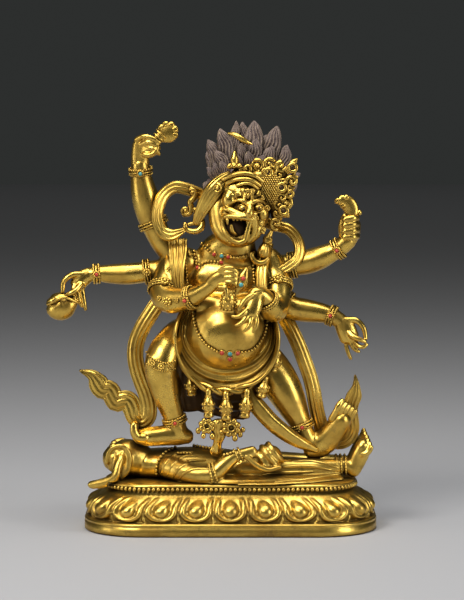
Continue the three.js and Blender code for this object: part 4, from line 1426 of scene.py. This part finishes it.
def hide_left_foot(form):
    """A round pad with five scalloped toes and their nails, on a leg with two bands."""
    middle = Vector((-31, -6, 172.6))
    ball(form, middle + Vector((0, 0, -0.6)), (5, 1.5, 4.8), fine=24)
    for turn in (150, 108, 62, 18, -24):
        way = Vector((math.cos(math.radians(turn)), 0, math.sin(math.radians(turn))))
        ball(form, middle + way * 3.5, (2.1, 1.4, 2.1), fine=16)
        eyelet(form, middle + way * 3.9 + Vector((0, -1.4, 0)), 0.85, 0.26, 14)
    limb(form, [
        (-39, -5, 165.4, 2.6, 2), (-36.8, -5.4, 168.2, 2.6, 1.8), (-34, -5.8, 171, 3, 1.6),
    ], 16, 0.8)
    for at, size in (((-35.4, -5.6, 169.8), 3), ((-34.2, -5.8, 171.4), 3.1)):
        hoop(form, at, (0.6, 0, 0.7), (size, 2), 0.55, 28, 8)


def hide_right_foot(form):
    limb(form, [
        (60.4, -5, 127, 3.2, 2), (60.2, -5.2, 131, 3.4, 1.9), (59.6, -5.4, 135, 3.9, 1.7),
        (57, -5.8, 138, 3.6, 1.5), (54.4, -6, 138.8, 2.6, 1.4),
    ], 20, 0.8)
    for at in ((53.2, -6.2, 138.4), (55.8, -6.4, 136.2), (57.4, -6.4, 140)):
        ball(form, at, (1.7, 1.2, 1.6), fine=14)
    for at in ((52.9, -7.4, 138.5), (55.4, -7.6, 136.2)):
        eyelet(form, at, 0.75, 0.22, 14)
    ball(form, (64, -5, 132.6), (1.4, 1.4, 1.4), fine=12)


def skull_cup(form):
    limb(form, [
        (-77, -4.6, 88.6, 1.8, 1.6), (-79.6, -4.4, 87.2, 4.4, 4), (-82.4, -4, 85.8, 6.2, 5.2),
        (-85.2, -4, 85.4, 6.7, 5.6), (-87.6, -4, 86.2, 5.6, 4.8), (-88.6, -4, 87.6, 3.4, 3),
    ], 28, 0.8)
    limb(form, [
        (-91, -6, 87, 0.75), (-88.6, -8.6, 88.2, 0.8), (-84.6, -9.6, 90.2, 0.8), (-82, -9.2, 90.6, 0.8),
        (-79.4, -8, 89.6, 0.8), (-76.8, -6.4, 88.2, 0.75), (-74.8, -5, 87.6, 0.5),
    ], 10, 0.8)
    ball(form, (-84.6, -3.4, 89.4), (5.6, 4.4, 3.4), fine=18)


STUD_RINGS = (3.1, 3.9, 4, 3.8, 3.2, 2.4)


def chopper(form):
    """A round studded knob and a leaf-shaped blade."""
    turned(form, (-1.4, -30, 85.6), (0.06, -0.05, 1), [
        (0, 0), (2.2, 0.3), (3.4, 1.6), (3.9, 4), (3.8, 6.6), (3.2, 8.8), (2.3, 10.2), (1.5, 11),
        (0, 11.4),
    ], 24)
    for ring, reach in enumerate(STUD_RINGS):
        for i in range(10):
            turn = math.tau * (i + 0.5 * (ring % 2)) / 10
            rise = 1.1 + ring * 1.75
            bead(form, (
                -1.4 + rise * 0.06 + reach * math.cos(turn), -30.2 + reach * math.sin(turn), 85.6 + rise,
            ), 0.72, 8)
    limb(form, [
        (3, -30, 95, 0.9, 0.8), (4.4, -30.4, 98, 2, 1), (6.2, -30.4, 102, 2.3, 1),
        (7.8, -29.8, 106.4, 0.8, 0.7),
    ], 20, 0.8)


def bowl(form):
    """A small bowl under the front right hand."""
    turned(form, (7.4, -24.6, 87.6), (0.05, 0.15, -1), [
        (0, 1), (4.2, 1.1), (4.9, 0.2), (5.4, 0), (5.5, 1.2), (5.2, 2.8), (4.5, 5), (3.2, 6.8), (1.7, 8),
        (0, 8.4),
    ], 36)


# Crown and ear ornaments

FOREHEAD_ARCS = [
    [
        (-3.4, -12.4, 149.4), (0.3, -14.6, 151.2), (4, -15.8, 152.2), (8, -16, 152.2),
        (12.6, -15.2, 150.8), (16, -13.8, 148.2),
    ],
    [
        (-1.6, -14.4, 147.6), (2.6, -16.2, 149.4), (7, -17, 149.7), (11, -16.6, 148.8),
        (14.6, -15.2, 146.4),
    ],
    [(3.2, -16.6, 146.6), (7, -17.4, 147.6), (10.6, -17, 147), (13.4, -15.8, 145)],
]
# Routes across and up of the crown's scrolls, and the size of a scroll
SCROLL_ROUTES = [
    ([
        (8, 154.6), (14, 156), (21, 156.6), (27.4, 155.2), (30.4, 150.6), (29.8, 144.6), (27.6, 138.4),
        (25, 131.6), (22.6, 127.6),
    ], 3.1),
    ([
        (16.4, 153.4), (22.6, 152.6), (26, 148.6), (26.4, 143.4), (24.6, 138), (22.8, 132.6),
    ], 2.4),
]
# Leaf tips round the crown: x and z, lean from upright in radians, and length
CROWN_TIPS = [
    (32.8, 159.4, 0.75, 5), (33.2, 150.6, 1.2, 4.2), (24.6, 159, 0.3, 3.4), (31.6, 145, 1.6, 3.4),
    (29.4, 137.4, 1.8, 3.2), (17.4, 158.6, 0.1, 3), (11, 158, -0.2, 3), (28.8, 131.6, 1.9, 3),
]
FIELD_PITCH = 1.12


def forehead_arcs(form):
    for arc, size in zip(FOREHEAD_ARCS, (1.3, 1.1, 0.85)):
        limb(form, [(*at, size) for at in arc], 10, 0.8)


def beaded_field(form):
    """Close rows of beads on the temple."""
    for i in range(16):
        for j in range(12):
            x = 12.8 + FIELD_PITCH * (j + 0.5 * (i % 2))
            z = 152 - FIELD_PITCH * 0.87 * i
            if x > 26 - 0.2 * (152 - z) or z > 152.6 - 0.5 * abs(x - 20) or x < 13 + 0.42 * (148 - z):
                continue
            place, normal = front_of(crown_bed_tree, x, z)
            bead(form, place + normal * 0.15, 0.6, 8)


def crown_scrolls(form):
    for route, size in SCROLL_ROUTES:
        for i, (x, _, z) in enumerate(curve([(x, 0, z) for x, z in route], size * 1.7)):
            place, _ = front_of(crown_bed_tree, x, z)
            y = min(place.y, -10) - 0.3
            scroll(
                form, (x, y, z), size, 1.1 if i % 2 else -1.1, 0.37 * size, 70 * i, lift=1.4,
                eye=i % 3 == 1,
            )
    for x, z in CROWN_HOLES:
        ball(form, (x, -11.4, z), (2.6, 1.8, 2.6), fine=16)
        eyelet(form, (x, -13.2, z), 2, 0.85, sides=8)


def crown_tips(form):
    for x, z, lean, reach in CROWN_TIPS:
        way = Vector((math.sin(lean), 0, math.cos(lean)))
        base = Vector((x, -10.6, z)) - way * reach
        outline = ((0, 1.4), (0.4, 1.9), (0.75, 1.3), (1, 0.45))
        rows = [(*(base + way * reach * share), width, 1) for share, width in outline]
        limb(form, rows, 12, 0.6)


def hair_jewel(form):
    """The jewel on top, and the strip that lies across the hair."""
    turned(form, (2, -9.6, 154.6), (0, 0, 1), [
        (0, -0.5), (2.4, 0), (2.9, 1), (2.6, 2.1), (1.9, 2.9), (2.2, 4), (2.1, 5.2), (1.4, 6.8),
        (0.8, 8.2), (0, 9.2),
    ], 18)
    for x in (-0.4, 2, 4.4):
        ball(form, (x, -11.6, 155.8), (1.5, 1.2, 1.5), fine=12)
    limb(form, [
        (-0.9, -6.6, 172, 0.6), (1.6, -7.6, 171.4, 1.2), (4.6, -8.4, 169.8, 1.5), (7.6, -8.6, 168, 1.25),
        (10.4, -8, 166.8, 0.6),
    ], 10, 0.8)


def crown_bed():
    """The crown's ground behind its scrolls and the ear locks beside the face."""
    form = Wax()
    limb(form, [
        (3, -8, 151, 3.4, 3), (11, -8.6, 153, 3.8, 3), (19, -8, 153.4, 4.4, 3), (26, -7, 151.6, 4, 2.6),
    ], 18, 1)
    limb(form, [
        (13, -11, 150, 4.4, 3.6), (18.2, -10.6, 147, 6.4, 3.8), (22, -9, 141.4, 6.2, 3.8),
        (23.6, -7.4, 135, 4.6, 3.4), (23, -6.6, 130, 2.8, 2.6),
    ], 22, 1)
    return form


crown_bed_skin = crown_bed().whole()
crown_bed_tree = BVHTree.FromBMesh(crown_bed_skin)


def left_lock(form):
    """The lock that sweeps down on the left, and its curl."""
    limb(form, [
        (-0.6, -9, 151, 2.6, 1.8), (-4, -10, 148.4, 3.8, 2.2), (-7.6, -10.6, 144.6, 4.5, 2.4),
        (-10.8, -10.2, 140, 4.4, 2.3), (-13.4, -9.2, 135.4, 3.7, 2.1), (-15.6, -8, 131, 2.8, 1.9),
        (-17, -6.6, 127.6, 2, 1.6),
    ], 44, 0.8, section=ribbon(5, 0.14))
    limb(form, [
        (-14.4, -6.6, 129.4, 1.5), (-14, -7.4, 126.4, 1.6), (-15.8, -7.8, 124, 1.6),
        (-19, -7.8, 123.4, 1.4), (-21.8, -7.6, 124.4, 1.2), (-22.6, -7.4, 127, 1),
    ], 12, 0.8)
    limb(form, [(-17.4, -6, 130, 1.3), (-18, -6.6, 127.6, 1.1), (-20.6, -7, 126.8, 0.9)], 10, 0.8)
    scroll(form, (-6.6, -12.8, 145), 2.4, 1.5, 0.6, 90, (-0.4, -1, 0.1), 0.4)


def left_ear_drop(form):
    """An S of two curls with leaves."""
    limb(form, [
        (-19.6, -3, 144.6, 1), (-17.6, -3, 142.6, 1.5), (-18, -3, 140, 1.7), (-20, -3, 137.6, 1.6),
        (-19.4, -3, 134.6, 1.5), (-20.4, -3, 132, 1.4), (-23, -3, 131.4, 1.2),
    ], 12, 0.8)
    scroll(form, (-18.8, -3.6, 142.6), 1.8, 1.2, 0.7, 40, lift=0.5)
    scroll(form, (-22.4, -3.6, 133.4), 2.2, 1.3, 0.8, 250, lift=0.5)
    scroll(form, (-17.6, -3.6, 134), 1.6, 1.2, 0.6, 120, lift=0.5)


def right_ear_drop(form):
    """A leaf, a disc, a fluted drop and a scroll."""
    limb(form, [(20.8, -9.4, 124.6, 0.6), (19.8, -9.8, 122.4, 1.2), (18.8, -10, 120.6, 1.6)], 12, 0.6)
    ball(form, (18.4, -10.6, 119.4), (2.5, 1.5, 2.5), fine=18)
    eyelet(form, (18.4, -12, 119.4), 1.4, 0.5)
    turned(form, (17.6, -10.4, 118), (-0.2, 0, -1), [
        (0, 0), (1.6, 0.3), (2.6, 2), (3.3, 4.4), (3, 6.6), (1.8, 8), (0, 8.6),
    ], 32, fluted(9, 0.09))
    limb(form, [
        (10.4, -12.4, 112.6, 1), (11.2, -12.6, 110, 1.3), (13.4, -12.8, 108.2, 1.4),
        (16.2, -12.6, 108.2, 1.4), (18.4, -12, 110, 1.1),
    ], 12, 0.8)


def beard_curls(form):
    """Curls on the right cheek."""
    for x, z, size in (
        (11.6, 130.2, 1.5), (13.6, 127.6, 1.6), (16, 131.6, 1.6), (17.6, 135, 1.5), (15.8, 124.4, 1.4),
    ):
        scroll(form, (x + 0.6, -16.4 + (x - 11) * 0.42, z), size, 1.2, 0.6, 40 * x, (0.3, -1, 0), 0.5)


# Strings of beads, rings round the limbs, and stones

RING_GROWTH = 0.7
RING_THICK = 0.6
RING_SPREAD = 1.3


def ring_on(form, rows, share, flower):
    """A jewelled ring round a limb at a share of its length: a plain hoop between two beaded ones,
    with a flower in front if it is given a size. Gives the place for a stone."""
    path = curve(full_rows(rows), 0.5)
    i = int(share * (len(path) - 1))
    centre = Vector(path[i, :3])
    along = Vector(path[min(i + 2, len(path) - 1), :3] - path[max(i - 2, 0), :3]).normalized()
    radii = (path[i, 3] + RING_GROWTH, path[i, 4] + RING_GROWTH)
    hoop(form, centre, along, radii, RING_THICK)
    for side in (-1, 1):
        hoop(form, centre + along * RING_SPREAD * side, along, (radii[0] - 0.1, radii[1] - 0.1),
             RING_THICK * 0.6, beads=26, bead_size=0.62)
    if not flower:
        return centre
    front = (Vector((0, -1, 0)) - along * along.dot(Vector((0, -1, 0)))).normalized()
    place = centre + front * (radii[1] + 0.4)
    rosette(form, place, flower, front, 0.5)
    return place + front * flower * 0.5


RINGS = [
    (ARMS["upper_left"], 0.955, 2.1, "turquoise"), (ARMS["upper_left"], 0.525, 0, None),
    (ARMS["middle_left"], 0.93, 2.0, "coral"), (ARMS["middle_left"], 0.45, 2.2, None),
    (ARMS["front_left"], 0.755, 2.0, "coral"), (ARMS["front_left"], 0.36, 2.4, None),
    (ARMS["upper_right"], 0.86, 2.0, "coral"), (ARMS["upper_right"], 0.3, 0, None),
    (ARMS["middle_right"], 0.86, 2.0, "coral"), (ARMS["middle_right"], 0.3, 0, None),
    (ARMS["front_right"], 0.82, 0, None), (ARMS["front_right"], 0.3, 2.6, None),
    (BENT_LEG, 0.92, 1.9, "coral"), (STRAIGHT_LEG, 0.87, 1.9, "coral"),
]

GARLAND_LEFT = [(-18.6, 88), (-17.9, 84.6), (-17, 78), (-15, 73), (-11.6, 68.8), (-6.4, 65.6)]
GARLAND_RIGHT = [(5.6, 65.2), (9.4, 65.6), (13, 68.2), (16, 73.1), (17.6, 80.5)]
CHEST_STRINGS = [
    [(-23, 118.6), (-22.6, 110), (-22.1, 101.7), (-21, 96.4)],
    [(-19.6, 119), (-18.4, 112), (-16.8, 107)],
    [(-15.2, 106.4), (-12, 107.8), (-6, 108.4)],
    [(-14.4, 118), (-12.6, 115.6), (-9.6, 113.2)],
    [(0.4, 111), (3, 110.8), (7.6, 111.8)],
    [(10.8, 113), (11.2, 106), (11.6, 98.6)],
]


# Stones at the neck, on the belly and on the chopper's handle
NECK_STONES = [
    (-7.9, 112.1, "coral"), (-4.2, 111.5, "turquoise"), (-1.0, 111.1, "coral"), (-4.5, 108.1, "coral"),
    (-16.1, 105.1, "coral"),
]
BELLY_STONES = [
    (-4.1, 65, "coral"), (-0.3, 64.6, "turquoise"), (3.5, 64.8, "coral"), (-0.3, 61.8, "coral"),
]
HANDLE_STONES = [((6.2, -31.6, 101.8), "coral"), ((5.2, -31.8, 98.8), "turquoise")]


def stone_settings(form, stones):
    """Ring-shaped settings, and the places and sizes of their stones."""
    for places, size, lift in ((NECK_STONES, 1.05, 0.6), (BELLY_STONES, 1.15, 0.7)):
        for x, z, gem in places:
            place, normal = front_of(body_tree, x, z)
            hoop(form, place + normal * 0.4, normal, (size + 0.1, size + 0.1), 0.4, 18, 6)
            stones[gem].append((place + normal * lift, size))
    for at, gem in HANDLE_STONES:
        eyelet(form, at, 1.25, 0.4, 18)
        stones[gem].append((Vector(at) + Vector((0, -0.3, 0)), 1.1))


def rosettes(form, places, lift, depth):
    """Rosettes on the body's skin, at places across and up and with a size each."""
    for x, z, size in places:
        place, normal = front_of(body_tree, x, z)
        rosette(form, place + normal * lift, size, normal, depth)


def knee_ornament(form):
    strung(form, body_tree, [
        (-41.4, 63.6), (-38.6, 61.4), (-35, 59.8), (-31, 59), (-27.6, 60),
    ], 0.6, 1.15, 0.6)
    strung(form, body_tree, [
        (-41, 58.6), (-38, 56.6), (-34.4, 55.4), (-30.6, 55), (-27.6, 56),
    ], 0.5, 1, 0.6)
    rosettes(form, [(-38.6, 59, 1.8), (-34.2, 57.6, 1.9), (-29.6, 57.4, 1.8)], 0, 0.5)


def arm_ornaments(form):
    """A leaf that hangs on the left upper arm, and a clasp on the forearm."""
    leaf = [(-31.6, 111, 0.6), (-31, 108, 2.2), (-30.2, 104, 3), (-29.6, 100.6, 2), (-29.4, 98, 0.5)]
    rows = []
    for x, z, width in leaf:
        place, normal = front_of(body_tree, x, z)
        rows.append((*(place + normal * 0.3), width, 0.7))
    limb(form, rows, 14, 0.8)
    rosettes(form, [(-30.4, 104.4, 1.9), (-31, 89.6, 2.6), (-26.6, 90.4, 1.6), (-35, 91, 1.5)], 0.5, 0.6)


def jewels():
    form = Wax()
    stones = {"coral": [], "turquoise": []}
    for rows, share, flower, gem in RINGS:
        place = ring_on(form, rows, share, flower)
        if gem:
            stones[gem].append((place, 0.95))
    for route in (GARLAND_LEFT, GARLAND_RIGHT):
        strung(form, torso_tree, route, 0.8, 1.5, 0)
    for route in CHEST_STRINGS:
        strung(form, body_tree, route, 0.8, 1.5, -0.1)
    stone_settings(form, stones)
    knee_ornament(form)
    arm_ornaments(form)
    return form, stones


jewel_form, stone_places = jewels()
cast("deity_body", body_skin, FIRE_GILT, "fire_gilt", "mahakala_figure")
cast("hands", hands_skin, FIRE_GILT, "fire_gilt")
cast("head", head_skin, FIRE_GILT, "fire_gilt")
cast("eyes_and_teeth", face_details(), FIRE_GILT, "fire_gilt")
# Painted shade in the mouth and the crown's rings, with the pupils.
cast("mouth_lining", mouth_lining(), SHADE_AND_PUPILS_FINISH, "dark_bronze")
cast("flaming_hair", flaming_hair(), HAIR_PAINT, "painted_hair")
cast("scarf", scarf(), FIRE_GILT, "fire_gilt")
cast("skirt", skirt(), FIRE_GILT, "fire_gilt")
# The skirt's back cloth, near black as painted shade.
cast("skirt_lining", skirt_lining(), SHADE_AND_PUPILS_FINISH, "dark_bronze")
cast("pendants_and_blossoms", together(pendants, blossoms), FIRE_GILT, "fire_gilt")
held = together(hide_left_foot, hide_right_foot, skull_cup, chopper, bowl)
cast("attributes", held, FIRE_GILT, "fire_gilt")
crown = together(forehead_arcs, beaded_field, crown_scrolls, crown_tips, hair_jewel)
cast("crown", crown, FIRE_GILT, "fire_gilt")
cast("crown_ground", crown_bed_skin, FIRE_GILT, "fire_gilt")
locks = together(left_lock, left_ear_drop, right_ear_drop, beard_curls)
cast("locks_and_ear_drops", locks, FIRE_GILT, "fire_gilt")
cast("jewels", jewel_form, FIRE_GILT, "fire_gilt")
for gem_name, gem_finish in (("coral", CORAL), ("turquoise", TURQUOISE)):
    gem_form = Wax()
    for gem_place, gem_size in stone_places[gem_name]:
        ball(gem_form, gem_place, (gem_size,) * 3, fine=14)
    cast(gem_name + "_stones", gem_form, gem_finish, gem_name)


# Stage: floor, light and camera

def stage():
    floor = bmesh.new()
    bmesh.ops.create_grid(floor, x_segments=1, y_segments=1, size=4)
    mesh = bpy.data.meshes.new("floor")
    floor.to_mesh(mesh)
    floor.free()
    cloth = Finish("pale_floor")
    mesh.materials.append(cloth.set(Base_Color=(0.42, 0.42, 0.43), Roughness=0.75))
    piece = bpy.data.objects.new("floor", mesh)
    bpy.context.scene.collection.objects.link(piece)


def lamp(name, place, target, size, power, colour=(1, 1, 1)):
    light = bpy.data.lights.new(name, "AREA")
    light.shape = "RECTANGLE"
    light.size, light.size_y = size
    light.energy = power
    light.color = colour
    piece = bpy.data.objects.new(name, light)
    piece.location = place
    piece.rotation_euler = (Vector(target) - Vector(place)).to_track_quat("-Z", "Y").to_euler()
    bpy.context.scene.collection.objects.link(piece)


def surroundings():
    world = bpy.data.worlds.new("studio")
    bpy.context.scene.world = world
    world.use_nodes = True
    world.node_tree.nodes["Background"].inputs["Color"].default_value = (0.026, 0.028, 0.027, 1)
    world.node_tree.nodes["Background"].inputs["Strength"].default_value = 1.0


CAMERA_DISTANCE = 1.3
CAMERA_RISE = math.radians(5)
VIEW_HEIGHT = 0.3
AIM = Vector((0.00075, 0, 0.1137))


def camera():
    lens = bpy.data.cameras.new("camera")
    lens.sensor_width = 36
    lens.lens = lens.sensor_width * CAMERA_DISTANCE / VIEW_HEIGHT
    lens.clip_start = 0.05
    piece = bpy.data.objects.new("camera", lens)
    back = Vector((0, -math.cos(CAMERA_RISE), math.sin(CAMERA_RISE)))
    piece.location = AIM + back * CAMERA_DISTANCE
    piece.rotation_euler = (-back).to_track_quat("-Z", "Y").to_euler()
    bpy.context.scene.collection.objects.link(piece)
    bpy.context.scene.camera = piece


stage()
surroundings()
lamp("key", (-0.5, -0.7, 0.85), AIM, (0.5, 0.4), 9, (1, 0.97, 0.93))
lamp("fill", (0.8, -0.5, 0.3), AIM, (0.25, 0.6), 3.2, (0.97, 0.98, 1))
lamp("top", (0.05, -0.12, 0.9), AIM, (0.6, 0.5), 5.6)
lamp("low", (-0.85, -0.3, 0.2), AIM, (0.25, 0.4), 1.1)
lamp("far", (0, 3.4, 1.5), (0, 3.4, 0), (2, 2), 1.2)
camera()
bpy.context.scene.view_settings.view_transform = "Standard"

for spare in STOCK.values():
    bpy.data.meshes.remove(spare)
